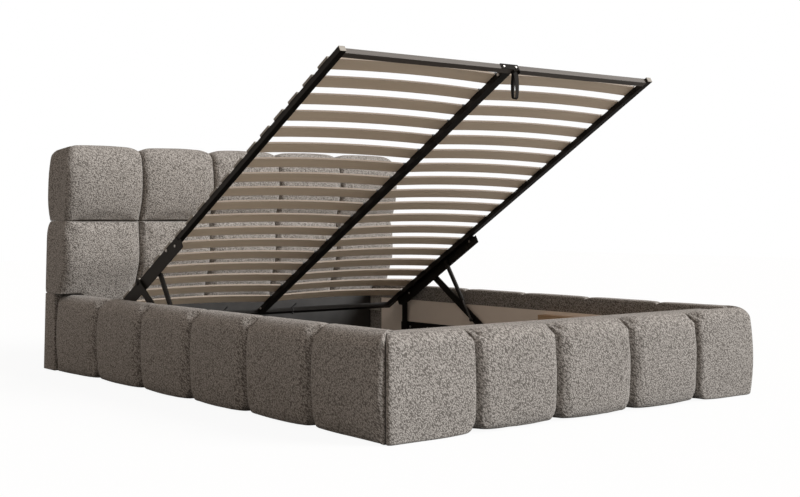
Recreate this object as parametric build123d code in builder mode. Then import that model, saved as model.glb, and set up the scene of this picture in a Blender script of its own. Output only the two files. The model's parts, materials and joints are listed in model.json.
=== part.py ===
from build123d import *
import math
import os

# Storage bed with a lifting slat platform, shown with the platform raised.
# Millimetres. +X is the right side seen from the foot, +Y points to the headboard, +Z is up.
# The origin is on the floor under the middle of the bed.

os.makedirs("parts", exist_ok=True)

# Mattress that the bed is made for, and the room left round it
mattress_length = 2000
mattress_width = 1600
mattress_side_gap = 6
mattress_foot_gap = 15

# Boards of the base
board = 22
board_clearance = 12
side_board_height = 310
lining = 3
lining_floor_gap = 4

# Upholstery of the rails
side_pad_depth = 82
foot_pad_depth = 88
pad_clearance = 5
pad_crown_top = 337
pad_groove_depth = 40
pad_groove_top_drop = 11
pad_groove_bottom_rise = 8
pad_sag = 8
pad_top_radius = 58
pad_bottom_radius = 26
pad_groove_radius_share = 0.45
side_pad_count = 6
foot_pad_count = 5
wrap_top = 5
wrap_inner_drop = 55
wrap_overlap = 14
seam_gap = 0.4
corner_pad_extra = 49

# Hollow box behind the foot pads
foot_box_depth = 106
foot_inner_board = 18

# Headboard
headboard_depth = 257
headboard_board = 16
headboard_board_setback = 87
headboard_board_height = 918
headboard_side_return = 40
headboard_back_cover = 4
headboard_cover_lean = 52
headboard_rib = 20
headboard_rib_count = 4
head_pad_seam = 663
head_pad_top_rise = 60
head_pad_columns = 5
head_pad_back_fall = 13
head_pad_back_overhang = 30
head_pad_top_radius = 60
head_pad_back_radius = 32
head_pad_top_clearance = 2
head_upper_crown = 182
head_seam_depth = 142
head_lower_crown = 151
head_lower_crown_height = 520
head_lower_foot = 66
head_lower_bottom = 300
head_overlap_bottom = 341
head_return_front = 30
head_return_rounding = 16
head_return_top_drop = 50
head_cross_setback = 70

# Black panel at the head end of the storage well
head_panel = 3
head_panel_side_gap = 3
head_panel_height = 250

# Floor of the storage well
floor_panel = 4
floor_gap = 3
bearer_width = 20
bearer_height = 18
floor_beam_width = 40
glide_radius = 10
glide_count_side = 4
glide_inset = 90

# Ledges that carry the closed platform
ledge_width = 45
ledge_height = 24
ledge_length = 845
ledge_clearance = 0.5

# Corner plates at the head end
corner_plate_length = 75
corner_plate_height = 62
corner_plate_thickness = 2
corner_plate_top = 261
corner_plate_flange = 10
corner_facing = 92
screw_head_radius = 4
screw_head_height = 2

# Platform of tubes, raised
open_angle = 30.44
platform_length = 1980
platform_side_gap = 32
tube_width = 25
tube_height = 20
tube_wall = 1.5
centre_tube_width = 36
end_cap_flange = 2
end_cap_plug = 14
end_cap_clearance = 0.3
foot_tube_setback = 8

# Slats and their holders
slat_count = 18
slat_thickness = 8
slat_width = 58
slat_bow = 10
slat_first = 124
slat_last = 101.6
slat_flat = 22
slat_side_inset = 4
slat_centre_inset = 3
holder_length = 62
holder_height = 8.5
holder_floor = 1
holder_clearance = 0.3
holder_overhang = 2
holder_slot_depth = 24
holder_centre_overhang = 1
holder_centre_slot = 16

# Lift linkage, one set on each side
rear_pivot_setback = 203.5
base_pivot_spacing = 625.7
base_pivot_height = 133
rear_link_length = 157.8
front_link_length = 506.7
lift_pivot_spacing = 232.6
lift_pivot_inset = 128.9
lift_pivot_rise = 6
base_plate_thickness = 4
base_plate_height = 50
base_plate_corner = 10
base_plate_rear_length = 44
base_plate_front_length = 22
base_bolt_inset = 30
base_bolt_pitch = 133
base_bolt_count = 4
link_thickness = 5
link_plane_gap = 10
rear_link_width = 36
front_link_width = 34
lift_plate_thickness = 3
lift_plate_drop = 42
lift_plate_rise = 18
lift_plate_head_end = 78
lift_plate_foot_end = 749
lift_plate_step = 28
lift_plate_step_drop = 24
lift_plate_head_chamfer = 30
pin_radius = 5
pin_clearance = 0.06
pin_head_radius = 9
pin_head_height = 3
pin_side_clearance = 0.4
open_pivot_clearance = 0.5
plate_bolt_radius = 3
bolt_clearance = 0.2
bolt_head_radius = 5.5
bolt_head_height = 3
nut_radius = 5
nut_height = 3
plate_bolt_drop = 9
plate_bolt_inset = 50
plate_screw_rise = 9
plate_screw_inset = 120

# Gas struts
strut_pivot_inset = 512
strut_pivot_drop = 17
strut_link_reach = 123
strut_tube_radius = 10
strut_tube_bore = 8
strut_tube_end_margin = 17.5
strut_rod_radius = 5
strut_rod_clearance = 0.1
strut_cap = 12
strut_eye_radius = 9
strut_eye_thickness = 8
strut_neck_radius = 3.2
strut_eye_pin_radius = 4
strut_plane_gap = 11
strut_rod_engagement = 16

# Pull strap, its anchor, the cable ties and the bolts of the centre tube
strap_width = 25
strap_thickness = 2
strap_drop = 109
strap_loop_radius = 9
strap_offset = 27
strap_bar_radius = 2.5
strap_bar_clearance = 0.3
strap_bar_gap = 1
strap_side_gap = 0.3
anchor_thickness = 2
anchor_width = 88
anchor_offset = -2
anchor_cheek_rim = 5
anchor_cheek_gap = 0.3
anchor_screw_spread = 60
tie_offset_left = -199
tie_offset_right = 178
tie_width = 5
tie_thickness = 1.5
tie_knob = 9
tie_tail = 38
centre_bolt_radius = 5
centre_bolt_height = 4

# Cuts run past the solid by this much
overrun = 5

# Main planes and places
inner_half_width = mattress_width / 2 + mattress_side_gap
board_face_x = inner_half_width + board
outer_half_width = board_face_x + side_pad_depth
bed_length = (foot_pad_depth + foot_box_depth + mattress_foot_gap + mattress_length
              + headboard_depth)
foot_y = -bed_length / 2
foot_board_y = foot_y + foot_pad_depth
foot_inner_y = foot_board_y + foot_box_depth
mattress_foot_y = foot_inner_y + mattress_foot_gap
mattress_head_y = mattress_foot_y + mattress_length
back_y = bed_length / 2
board_top = board_clearance + side_board_height
wrap_top_z = board_top + wrap_top
wrap_low_z = board_top - wrap_inner_drop
lining_x = inner_half_width - lining
headboard_y = back_y - headboard_board_setback
head_cross_face_y = headboard_y - head_cross_setback
side_pad_end_y = headboard_y - head_return_front - seam_gap
side_pad_pitch = (side_pad_end_y - foot_y - corner_pad_extra) / side_pad_count
floor_top = board_clearance + bearer_height + floor_panel
platform_half_width = inner_half_width - platform_side_gap


def meet(centre_a, radius_a, centre_b, radius_b):
    """Upper crossing point of two circles in the side view."""
    run = centre_b[0] - centre_a[0]
    rise = centre_b[1] - centre_a[1]
    span = math.hypot(run, rise)
    along = (span ** 2 + radius_a ** 2 - radius_b ** 2) / (2 * span)
    across = math.sqrt(radius_a ** 2 - along ** 2)
    return (centre_a[0] + (along * run - across * rise) / span,
            centre_a[1] + (along * rise + across * run) / span)


def linkage(tilt):
    """Upper pivots of the rear and front links when the platform is tilted by some degrees."""
    turn = math.radians(tilt)
    reach = (rear_pivot_y - lift_pivot_spacing * math.cos(turn),
             base_pivot_height + lift_pivot_spacing * math.sin(turn))
    front = meet((front_pivot_y, base_pivot_height), front_link_length, reach, rear_link_length)
    rear = (front[0] + lift_pivot_spacing * math.cos(turn),
            front[1] - lift_pivot_spacing * math.sin(turn))
    return rear, front


rear_pivot_y = mattress_head_y - rear_pivot_setback
front_pivot_y = rear_pivot_y - base_pivot_spacing
tilt_cos = math.cos(math.radians(open_angle))
tilt_sin = math.sin(math.radians(open_angle))
lift_rear, lift_front = linkage(open_angle)
closed_rear, closed_front = linkage(0)
closed_underside = closed_rear[1] - lift_pivot_rise
ledge_top = closed_underside - ledge_clearance
platform_head = (lift_rear[0] + lift_pivot_inset * tilt_cos - lift_pivot_rise * tilt_sin,
                 lift_rear[1] - lift_pivot_inset * tilt_sin - lift_pivot_rise * tilt_cos)


def platform_point(along, above):
    """Place in the side view: along the platform from its head end, above its underside."""
    return (platform_head[0] - along * tilt_cos + above * tilt_sin,
            platform_head[1] + along * tilt_sin + above * tilt_cos)


def across_platform(along):
    """Plane square to the platform's length: sketch x is the bed's width, y is above the tubes."""
    y, z = platform_point(along, 0)
    return Plane(origin=(0, y, z), x_dir=(1, 0, 0), z_dir=(0, -tilt_cos, tilt_sin))


def beside_platform(x):
    """Upright plane along the platform: sketch x runs from its head end, y is above its underside."""
    return Plane(origin=(x, platform_head[0], platform_head[1]),
                 x_dir=(0, -tilt_cos, tilt_sin), z_dir=(-1, 0, 0))


def side_plane(x):
    """Upright plane across the bed's width at x: sketch x is the bed's Y, sketch y is Z."""
    return Plane(origin=(x, 0, 0), x_dir=(0, 1, 0), z_dir=(1, 0, 0))


def outward_plane(face, station, toward):
    """Plane at one station of a pad row: sketch x points out of the row, y is up."""
    if toward == "right":
        return Plane(origin=(face, station, 0), x_dir=(1, 0, 0), z_dir=(0, -1, 0))
    return Plane(origin=(station, face, 0), x_dir=(0, -1, 0), z_dir=(-1, 0, 0))


def save(piece, name):
    """Label a finished piece and write it as its own node."""
    piece.part.label = name
    export_step(piece.part, f"parts/{name}.step")


def other_side(piece):
    """The same piece on the left side of the bed."""
    with BuildPart() as copy:
        mirror(piece.part, about=Plane.YZ)
    return copy


def block(x_span, y_span, z_span):
    """A board or batten between two corners."""
    with BuildPart() as piece:
        with BuildSketch(Plane.XY.offset(z_span[0])):
            with Locations(((x_span[0] + x_span[1]) / 2, (y_span[0] + y_span[1]) / 2)):
                Rectangle(x_span[1] - x_span[0], y_span[1] - y_span[0])
        extrude(amount=z_span[1] - z_span[0])
    return piece


def box_part(x_span, y_span, z_span, mode=Mode.ADD):
    """A block made inside the open part."""
    with BuildSketch(Plane.XY.offset(z_span[0])) as outline:
        with Locations(((x_span[0] + x_span[1]) / 2, (y_span[0] + y_span[1]) / 2)):
            Rectangle(x_span[1] - x_span[0], y_span[1] - y_span[0])
    extrude(outline.sketch, amount=z_span[1] - z_span[0], mode=mode)


def disc(plane, place, radius, height, mode=Mode.ADD):
    """A round boss, pin or hole that starts on a plane of the open part."""
    with BuildSketch(plane) as outline:
        with Locations(place):
            Circle(radius)
    extrude(outline.sketch, amount=height, mode=mode)


# Pads of the rails

pad_stations_share = (0, 0.05, 0.18, 0.5, 0.82, 0.95, 1)
pad_swell_share = (0, 0.6, 0.88, 1, 0.88, 0.6, 0)
corner_mid_share = 1 - math.sqrt(0.5)


def pad_outline(inner, depth, top, bottom, shrink_share):
    """Closed outline of one pad section: flat at the board, crowned and rounded outside."""
    top_radius = pad_top_radius * shrink_share
    bottom_radius = pad_bottom_radius * shrink_share
    shoulder = depth - pad_sag
    with BuildLine() as outline:
        Line((inner, bottom), (inner, wrap_top_z))
        Line((inner, wrap_top_z), (shoulder - top_radius, top))
        ThreePointArc((shoulder - top_radius, top),
                      (shoulder - top_radius * corner_mid_share, top - top_radius * corner_mid_share),
                      (shoulder, top - top_radius))
        ThreePointArc((shoulder, top - top_radius), (depth, (top + bottom) / 2),
                      (shoulder, bottom + bottom_radius))
        ThreePointArc((shoulder, bottom + bottom_radius),
                      (shoulder - bottom_radius * corner_mid_share,
                       bottom + bottom_radius * corner_mid_share),
                      (shoulder - bottom_radius, bottom))
        Line((shoulder - bottom_radius, bottom), (inner, bottom))
    make_face(outline.edges())


def swollen_outline(depth, swell):
    """Section of a pad between its groove, swell 0, and its crown, swell 1."""
    pad_outline(0, depth - pad_groove_depth * (1 - swell),
                pad_crown_top - pad_groove_top_drop * (1 - swell),
                pad_clearance + pad_groove_bottom_rise * (1 - swell),
                pad_groove_radius_share + (1 - pad_groove_radius_share) * swell)


def end_swells(first_swell, last_swell):
    """Swells of a pad's stations, where the ends of a row don't draw in to a groove."""
    middle = len(pad_swell_share) // 2
    first_half = [max(swell, first_swell) for swell in pad_swell_share[:middle]]
    last_half = [max(swell, last_swell) for swell in pad_swell_share[middle + 1:]]
    return first_half + [pad_swell_share[middle]] + last_half


def pad_span(face, toward, start, length, depth, first_swell=0, last_swell=0):
    """One pad of a row: a loft through its groove, shoulders and crown."""
    swells = end_swells(first_swell, last_swell)
    sections = []
    for share, swell in zip(pad_stations_share, swells):
        with BuildSketch(outward_plane(face, start + share * length, toward)) as section:
            swollen_outline(depth, swell)
        sections.append(section.sketch)
    loft(sections)


side_end_swell_share = 0.86
foot_end_swell_share = 0.86

mitre_reach_share = 1.2


def mitre_cut(side, toward_foot):
    """Cuts a row where it meets its neighbour in the upright corner seam of the foot."""
    shift = seam_gap if toward_foot else 0
    far_x = board_face_x + mitre_reach_share * side_pad_depth
    far_y = foot_board_y - mitre_reach_share * foot_pad_depth
    if toward_foot:
        third = ((board_face_x, far_y + shift),)
    else:
        third = ((far_x, foot_board_y + overrun), (board_face_x, foot_board_y + overrun))
    corners = ((board_face_x, foot_board_y + shift), (far_x, far_y + shift)) + third
    with BuildSketch(Plane.XY.offset(-overrun)) as outline:
        Polygon(*[(side * x, y) for x, y in corners], align=None)
    extrude(outline.sketch, amount=pad_crown_top + 2 * overrun, mode=Mode.SUBTRACT)


with BuildPart() as side_upholstery:
    pad_span(board_face_x, "right", foot_y, side_pad_pitch + corner_pad_extra, side_pad_depth,
             first_swell=side_end_swell_share)
    for index in range(1, side_pad_count):
        pad_span(board_face_x, "right", foot_y + corner_pad_extra + index * side_pad_pitch,
                 side_pad_pitch, side_pad_depth,
                 last_swell=side_end_swell_share if index == side_pad_count - 1 else 0)
    mitre_cut(1, True)
    box_part((inner_half_width, board_face_x + wrap_overlap),
             (foot_board_y + seam_gap, side_pad_end_y), (board_top, wrap_top_z - seam_gap))
    box_part((lining_x, inner_half_width), (foot_inner_y + seam_gap, head_cross_face_y - seam_gap),
             (wrap_low_z, wrap_top_z - seam_gap))
save(side_upholstery, "side_upholstery_right")
save(other_side(side_upholstery), "side_upholstery_left")

foot_pad_pitch = 2 * outer_half_width / foot_pad_count

with BuildPart() as foot_upholstery:
    for index in range(foot_pad_count):
        pad_span(foot_board_y, "foot", -outer_half_width + index * foot_pad_pitch, foot_pad_pitch,
                 foot_pad_depth,
                 first_swell=foot_end_swell_share if index == 0 else 0,
                 last_swell=foot_end_swell_share if index == foot_pad_count - 1 else 0)
    wrap_half_width = inner_half_width - seam_gap
    wrap_inner_half_width = lining_x - seam_gap
    box_part((-wrap_half_width, wrap_half_width), (foot_board_y, foot_inner_y),
             (board_top, wrap_top_z - seam_gap))
    box_part((-wrap_inner_half_width, wrap_inner_half_width),
             (foot_inner_y, foot_inner_y + lining), (wrap_low_z, wrap_top_z - seam_gap))
    for side in (-1, 1):
        mitre_cut(side, False)
save(foot_upholstery, "foot_upholstery")

# Boards of the base

side_board_head_y = headboard_y

with BuildPart() as side_board:
    box_part((inner_half_width, board_face_x), (foot_board_y + board, side_board_head_y),
             (board_clearance, board_top))
    for index in range(base_bolt_count):
        bolt_y = rear_pivot_y - base_bolt_inset - index * base_bolt_pitch
        disc(side_plane(inner_half_width - overrun), (bolt_y, base_pivot_height),
             plate_bolt_radius + bolt_clearance, board + 2 * overrun, mode=Mode.SUBTRACT)
save(side_board, "side_board_right")
save(other_side(side_board), "side_board_left")

with BuildPart() as side_lining:
    box_part((lining_x, inner_half_width), (foot_inner_y, head_cross_face_y - corner_facing),
             (floor_top + lining_floor_gap, wrap_low_z - seam_gap))
    for index in range(base_bolt_count):
        bolt_y = rear_pivot_y - base_bolt_inset - index * base_bolt_pitch
        disc(side_plane(lining_x - overrun), (bolt_y, base_pivot_height),
             plate_bolt_radius + bolt_clearance, lining + 2 * overrun, mode=Mode.SUBTRACT)
save(side_lining, "side_lining_right")
save(other_side(side_lining), "side_lining_left")

corner_strip = block((lining_x, inner_half_width),
                     (head_cross_face_y - corner_facing + seam_gap, head_cross_face_y),
                     (floor_top + lining_floor_gap, wrap_low_z - seam_gap))
save(corner_strip, "corner_strip_right")
save(other_side(corner_strip), "corner_strip_left")

foot_board = block((-board_face_x, board_face_x), (foot_board_y, foot_board_y + board),
                   (board_clearance, board_top))
save(foot_board, "foot_board")

foot_inner = block((-inner_half_width, inner_half_width),
                   (foot_inner_y - foot_inner_board, foot_inner_y),
                   (board_clearance, board_top - board))
save(foot_inner, "foot_inner_board")

foot_top = block((-inner_half_width, inner_half_width), (foot_board_y + board, foot_inner_y),
                 (board_top - board, board_top))
save(foot_top, "foot_top_board")

head_cross = block((-inner_half_width, inner_half_width),
                   (head_cross_face_y, head_cross_face_y + board),
                   (board_clearance, head_lower_bottom - seam_gap))
save(head_cross, "head_cross_board")

head_panel_half_width = lining_x - head_panel_side_gap
head_inner_panel = block((-head_panel_half_width, head_panel_half_width),
                         (head_cross_face_y - head_panel, head_cross_face_y),
                         (floor_top + lining_floor_gap, floor_top + lining_floor_gap + head_panel_height))
save(head_inner_panel, "head_inner_panel")

# Headboard

head_half_width = outer_half_width - headboard_side_return
cover_top_z = board_clearance + headboard_board_height
head_pad_top = cover_top_z + head_pad_top_rise


def cover_y(height):
    """Front of the leaning back cover at a height."""
    share = (height - board_clearance) / headboard_board_height
    return back_y - headboard_back_cover - headboard_cover_lean * share


def cover_back(height):
    """Outer face of the back cover at a height, forward of the board's face and so negative."""
    return headboard_y - cover_y(height) - headboard_back_cover


headboard_panel = block((-head_half_width, head_half_width),
                        (headboard_y, headboard_y + headboard_board),
                        (board_clearance, cover_top_z))
save(headboard_panel, "headboard_board")

with BuildPart() as headboard_cover:
    with BuildSketch(side_plane(-head_half_width)):
        Polygon((cover_y(board_clearance), board_clearance),
                (cover_y(board_clearance) + headboard_back_cover, board_clearance),
                (cover_y(cover_top_z) + headboard_back_cover, cover_top_z),
                (cover_y(cover_top_z), cover_top_z), align=None)
    extrude(amount=2 * head_half_width)
save(headboard_cover, "headboard_back_cover")

with BuildPart() as headboard_ribs:
    rib_pitch = (2 * head_half_width - headboard_rib) / (headboard_rib_count - 1)
    for index in range(headboard_rib_count):
        with BuildSketch(side_plane(-head_half_width + index * rib_pitch)):
            Polygon((headboard_y + headboard_board, board_clearance),
                    (cover_y(board_clearance), board_clearance),
                    (cover_y(cover_top_z), cover_top_z),
                    (headboard_y + headboard_board, cover_top_z), align=None)
        extrude(amount=headboard_rib)
save(headboard_ribs, "headboard_ribs")


head_end_swell_share = 0.9


def upper_head_outline(swell, return_side=False):
    """Section of an upper headboard pad, which folds over the board's top edge."""
    fall = pad_groove_depth * (1 - swell)
    drop = pad_groove_top_drop * (1 - swell)
    if return_side:
        drop += head_return_top_drop * (head_end_swell_share - swell)
    front = head_upper_crown - fall
    shoulder = front - pad_sag
    top = head_pad_top - drop
    seam = head_seam_depth - fall
    radius = head_pad_top_radius
    back_radius = head_pad_back_radius
    back_top = top - head_pad_back_fall
    step = cover_back(head_pad_seam) if return_side else 0
    step_z = head_pad_seam if return_side else cover_top_z + head_pad_top_clearance
    with BuildLine() as outline:
        Line((0, head_pad_seam), (seam, head_pad_seam))
        ThreePointArc((seam, head_pad_seam), (front, (head_pad_seam + top) / 2),
                      (shoulder, top - radius))
        ThreePointArc((shoulder, top - radius),
                      (shoulder - radius * corner_mid_share, top - radius * corner_mid_share),
                      (shoulder - radius, top))
        Line((shoulder - radius, top), (back_radius - head_pad_back_overhang, back_top))
        ThreePointArc((back_radius - head_pad_back_overhang, back_top),
                      (back_radius * corner_mid_share - head_pad_back_overhang,
                       back_top - back_radius * corner_mid_share),
                      (-head_pad_back_overhang, back_top - back_radius))
        if return_side:
            Line((-head_pad_back_overhang, back_top - back_radius), (step, step_z))
            Line((step, step_z), (0, head_pad_seam))
        else:
            Line((-head_pad_back_overhang, back_top - back_radius), (-head_pad_back_overhang, step_z))
            Line((-head_pad_back_overhang, step_z), (0, step_z))
            Line((0, step_z), (0, head_pad_seam))
    make_face(outline.edges())


def lower_head_outline(swell, bottom, return_side=False):
    """Section of a lower headboard pad, which slopes back towards the well."""
    fall = pad_groove_depth * (1 - swell)
    low_share = (bottom - head_lower_bottom) / (head_lower_crown_height - head_lower_bottom)
    low_front = head_lower_foot + (head_lower_crown - head_lower_foot) * low_share - fall
    mid_front = head_lower_crown - fall
    seam = head_seam_depth - fall
    low_back = cover_back(bottom) if return_side else 0
    high_back = cover_back(head_pad_seam) if return_side else 0
    with BuildLine() as outline:
        Line((low_back, bottom), (low_front, bottom))
        ThreePointArc((low_front, bottom), (mid_front, head_lower_crown_height),
                      (seam, head_pad_seam - seam_gap))
        Line((seam, head_pad_seam - seam_gap), (high_back, head_pad_seam - seam_gap))
        Line((high_back, head_pad_seam - seam_gap), (low_back, bottom))
    make_face(outline.edges())


head_pad_pitch = 2 * outer_half_width / head_pad_columns


def head_row(outline, index, edge):
    """One pad of a headboard row, from groove to groove or out to the board's edge."""
    start = -outer_half_width + index * head_pad_pitch
    end = start + head_pad_pitch
    first = last = 0
    if index == 0:
        start = -edge
        first = head_end_swell_share
    if index == head_pad_columns - 1:
        end = edge
        last = head_end_swell_share
    sections = []
    for share, swell in zip(pad_stations_share, end_swells(first, last)):
        with BuildSketch(outward_plane(headboard_y, start + share * (end - start), "foot")) as section:
            outline(swell)
        sections.append(section.sketch)
    loft(sections)


return_swells_share = (0.9, 0.85, 0.4)
return_stations = (head_half_width, outer_half_width - head_return_rounding, outer_half_width)

with BuildPart() as upper_pads:
    for index in range(head_pad_columns):
        head_row(upper_head_outline, index, head_half_width)
    for side in (-1, 1):
        for place, swell in zip(return_stations, return_swells_share):
            with BuildSketch(outward_plane(headboard_y, side * place, "foot")):
                upper_head_outline(swell, return_side=True)
        loft()
save(upper_pads, "headboard_upper_pads")

lower_pad_edge = lining_x - seam_gap

with BuildPart() as lower_pads:
    for index in range(head_pad_columns):
        head_row(lambda swell: lower_head_outline(swell, head_lower_bottom), index, lower_pad_edge)
    for side in (-1, 1):
        for place in (lower_pad_edge, head_half_width):
            with BuildSketch(outward_plane(headboard_y, side * place, "foot")):
                lower_head_outline(head_end_swell_share, head_overlap_bottom)
        loft()
        for place, swell in zip(return_stations, return_swells_share):
            with BuildSketch(outward_plane(headboard_y, side * place, "foot")):
                lower_head_outline(swell, head_overlap_bottom, return_side=True)
        loft()
save(lower_pads, "headboard_lower_pads")

with BuildPart() as side_return:
    for place, swell in zip(return_stations, return_swells_share):
        inset = head_return_rounding * (1 - swell)
        with BuildSketch(outward_plane(headboard_y, place, "foot")):
            with BuildLine():
                Polyline((head_return_front - inset, pad_clearance + inset),
                         (head_return_front - inset, head_overlap_bottom - seam_gap),
                         (cover_back(head_overlap_bottom), head_overlap_bottom - seam_gap),
                         (inset - headboard_board_setback, pad_clearance + inset), close=True)
            make_face()
    loft(ruled=True)
save(side_return, "headboard_side_pad_right")
save(other_side(side_return), "headboard_side_pad_left")

# Floor of the storage well

well_half_width = inner_half_width - floor_gap
well_foot_y = foot_inner_y + floor_gap
well_head_y = head_cross_face_y - floor_gap
panel_floor_z = board_clearance + bearer_height

for side, name in ((-1, "floor_panel_left"), (1, "floor_panel_right")):
    near = side * floor_gap / 2
    far = side * well_half_width
    save(block((min(near, far), max(near, far)), (well_foot_y, well_head_y),
               (panel_floor_z, panel_floor_z + floor_panel)), name)

floor_beam = block((-floor_beam_width / 2, floor_beam_width / 2), (foot_inner_y, head_cross_face_y),
                   (board_clearance, panel_floor_z))
save(floor_beam, "floor_beam")

with BuildPart() as floor_bearers:
    for side in (-1, 1):
        near = side * (inner_half_width - bearer_width)
        far = side * inner_half_width
        box_part((min(near, far), max(near, far)), (foot_inner_y, head_cross_face_y),
                 (board_clearance, panel_floor_z))
save(floor_bearers, "floor_bearers")

with BuildPart() as floor_glides:
    side_x = inner_half_width + board / 2
    side_run = side_board_head_y - foot_board_y - board - 2 * glide_inset
    for index in range(glide_count_side):
        glide_y = foot_board_y + board + glide_inset + index * side_run / (glide_count_side - 1)
        for x in (-side_x, side_x):
            disc(Plane.XY, (x, glide_y), glide_radius, board_clearance)
    for x in (-head_half_width + glide_inset, 0, head_half_width - glide_inset):
        disc(Plane.XY, (x, foot_board_y + board / 2), glide_radius, board_clearance)
        disc(Plane.XY, (x, head_cross_face_y + board / 2), glide_radius, board_clearance)
    disc(Plane.XY, (0, 0), glide_radius, board_clearance)
save(floor_glides, "floor_glides")

# Ledges under the closed platform and plates at the head corners

support_ledge = block((lining_x - ledge_width, lining_x),
                      (foot_inner_y + lining + seam_gap, foot_inner_y + ledge_length),
                      (ledge_top - ledge_height, ledge_top))
save(support_ledge, "support_ledge_right")
save(other_side(support_ledge), "support_ledge_left")

with BuildPart() as corner_plate:
    plate_head_y = head_cross_face_y - head_panel - seam_gap
    plate_foot_y = plate_head_y - corner_plate_length
    plate_low = corner_plate_top - corner_plate_height
    box_part((lining_x - corner_plate_thickness, lining_x), (plate_foot_y, plate_head_y),
             (plate_low, corner_plate_top))
    box_part((lining_x - corner_plate_flange, lining_x), (plate_foot_y, plate_head_y),
             (plate_low, plate_low + corner_plate_thickness))
    for place in (corner_plate_length / 4, 3 * corner_plate_length / 4):
        disc(side_plane(lining_x - corner_plate_thickness - screw_head_height),
             (plate_foot_y + place, plate_low + corner_plate_height * 2 / 3),
             screw_head_radius, screw_head_height)
save(corner_plate, "corner_plate_right")
save(other_side(corner_plate), "corner_plate_left")

# Lift linkage of the right side, mirrored to the left

platform_x = platform_half_width
lift_plate_x = platform_x + lift_plate_thickness
base_plate_x = lining_x - base_plate_thickness
link_outer_x = base_plate_x - link_plane_gap
link_inner_x = link_outer_x - link_thickness
strut_x = platform_x - strut_plane_gap
strut_eye_outer_x = strut_x + strut_eye_thickness / 2
strut_eye_inner_x = strut_x - strut_eye_thickness / 2

with BuildPart() as base_plate:
    rear_end_y = rear_pivot_y + base_plate_rear_length
    front_end_y = front_pivot_y - base_plate_front_length
    with BuildSketch(side_plane(base_plate_x)):
        with Locations(((rear_end_y + front_end_y) / 2, base_pivot_height)):
            RectangleRounded(rear_end_y - front_end_y, base_plate_height, base_plate_corner)
    extrude(amount=base_plate_thickness)
    for index in range(base_bolt_count):
        bolt_y = rear_pivot_y - base_bolt_inset - index * base_bolt_pitch
        disc(side_plane(base_plate_x - overrun), (bolt_y, base_pivot_height),
             plate_bolt_radius + bolt_clearance, base_plate_thickness + 2 * overrun,
             mode=Mode.SUBTRACT)
    for pivot_y in (rear_pivot_y, front_pivot_y):
        pivot = (pivot_y, base_pivot_height)
        disc(side_plane(link_outer_x + pin_side_clearance), pivot, pin_head_radius,
             base_plate_x - link_outer_x - pin_side_clearance)
        disc(side_plane(link_inner_x - pin_side_clearance), pivot, pin_radius,
             link_thickness + 2 * pin_side_clearance)
        disc(side_plane(link_inner_x - pin_side_clearance - pin_head_height), pivot,
             pin_head_radius, pin_head_height)
save(base_plate, "base_plate_right")
save(other_side(base_plate), "base_plate_left")

with BuildPart() as base_plate_bolts:
    for side in (-1, 1):
        for index in range(base_bolt_count):
            bolt = (rear_pivot_y - base_bolt_inset - index * base_bolt_pitch, base_pivot_height)
            disc(side_plane(side * base_plate_x), bolt, bolt_head_radius, -side * bolt_head_height)
            disc(side_plane(side * base_plate_x), bolt, plate_bolt_radius,
                 side * (board_face_x - base_plate_x - seam_gap))
save(base_plate_bolts, "base_plate_bolts")


def link_bar(low, high, width, bored):
    """Flat bar with round ends between two pivots, bored where a pin passes through."""
    run = high[0] - low[0]
    rise = high[1] - low[1]
    length = math.hypot(run, rise)
    middle = ((low[0] + high[0]) / 2, (low[1] + high[1]) / 2)
    turn = math.degrees(math.atan2(rise, run))
    with BuildSketch(side_plane(link_inner_x)) as outline:
        with Locations(middle):
            SlotCenterToCenter(length, width, rotation=turn)
        for place in bored:
            with Locations(place):
                Circle(pin_radius + pin_clearance, mode=Mode.SUBTRACT)
    extrude(outline.sketch, amount=link_thickness)


rear_low = (rear_pivot_y, base_pivot_height)
front_low = (front_pivot_y, base_pivot_height)

with BuildPart() as rear_link:
    link_bar(rear_low, lift_rear, rear_link_width, (rear_low,))
    disc(side_plane(link_outer_x), lift_rear, pin_head_radius, pin_head_height)
save(rear_link, "rear_link_right")
save(other_side(rear_link), "rear_link_left")

front_run = (lift_front[0] - front_low[0]) / front_link_length
front_rise = (lift_front[1] - front_low[1]) / front_link_length
strut_low = (front_low[0] + strut_link_reach * front_run, front_low[1] + strut_link_reach * front_rise)
strut_high = platform_point(strut_pivot_inset, -strut_pivot_drop)

with BuildPart() as front_link:
    link_bar(front_low, lift_front, front_link_width, (front_low, lift_front))
    disc(side_plane(link_inner_x), strut_low, strut_eye_pin_radius,
         strut_x + strut_rod_radius + open_pivot_clearance - link_inner_x)
save(front_link, "front_link_right")
save(other_side(front_link), "front_link_left")

# Gas strut, its tube hinged on the lift plate and its rod ending at the front link

strut_run = strut_low[0] - strut_high[0]
strut_rise = strut_low[1] - strut_high[1]
strut_length = math.hypot(strut_run, strut_rise)
strut_dir = (strut_run / strut_length, strut_rise / strut_length)
closed_front_angle = math.atan2(closed_front[1] - front_low[1], closed_front[0] - front_low[0])
closed_strut_low = (front_low[0] + strut_link_reach * math.cos(closed_front_angle),
                    front_low[1] + strut_link_reach * math.sin(closed_front_angle))
closed_strut_high = (closed_rear[0] + lift_pivot_inset - strut_pivot_inset,
                     closed_underside - strut_pivot_drop)
closed_strut_length = math.hypot(closed_strut_low[0] - closed_strut_high[0],
                                 closed_strut_low[1] - closed_strut_high[1])
strut_tube_length = closed_strut_length - strut_tube_end_margin


def along_strut(distance):
    """Plane square to the strut, at a distance from its upper pivot, facing its lower end."""
    return Plane(origin=(strut_x, strut_high[0] + distance * strut_dir[0],
                         strut_high[1] + distance * strut_dir[1]),
                 x_dir=(1, 0, 0), z_dir=(0, strut_dir[0], strut_dir[1]))


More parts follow.
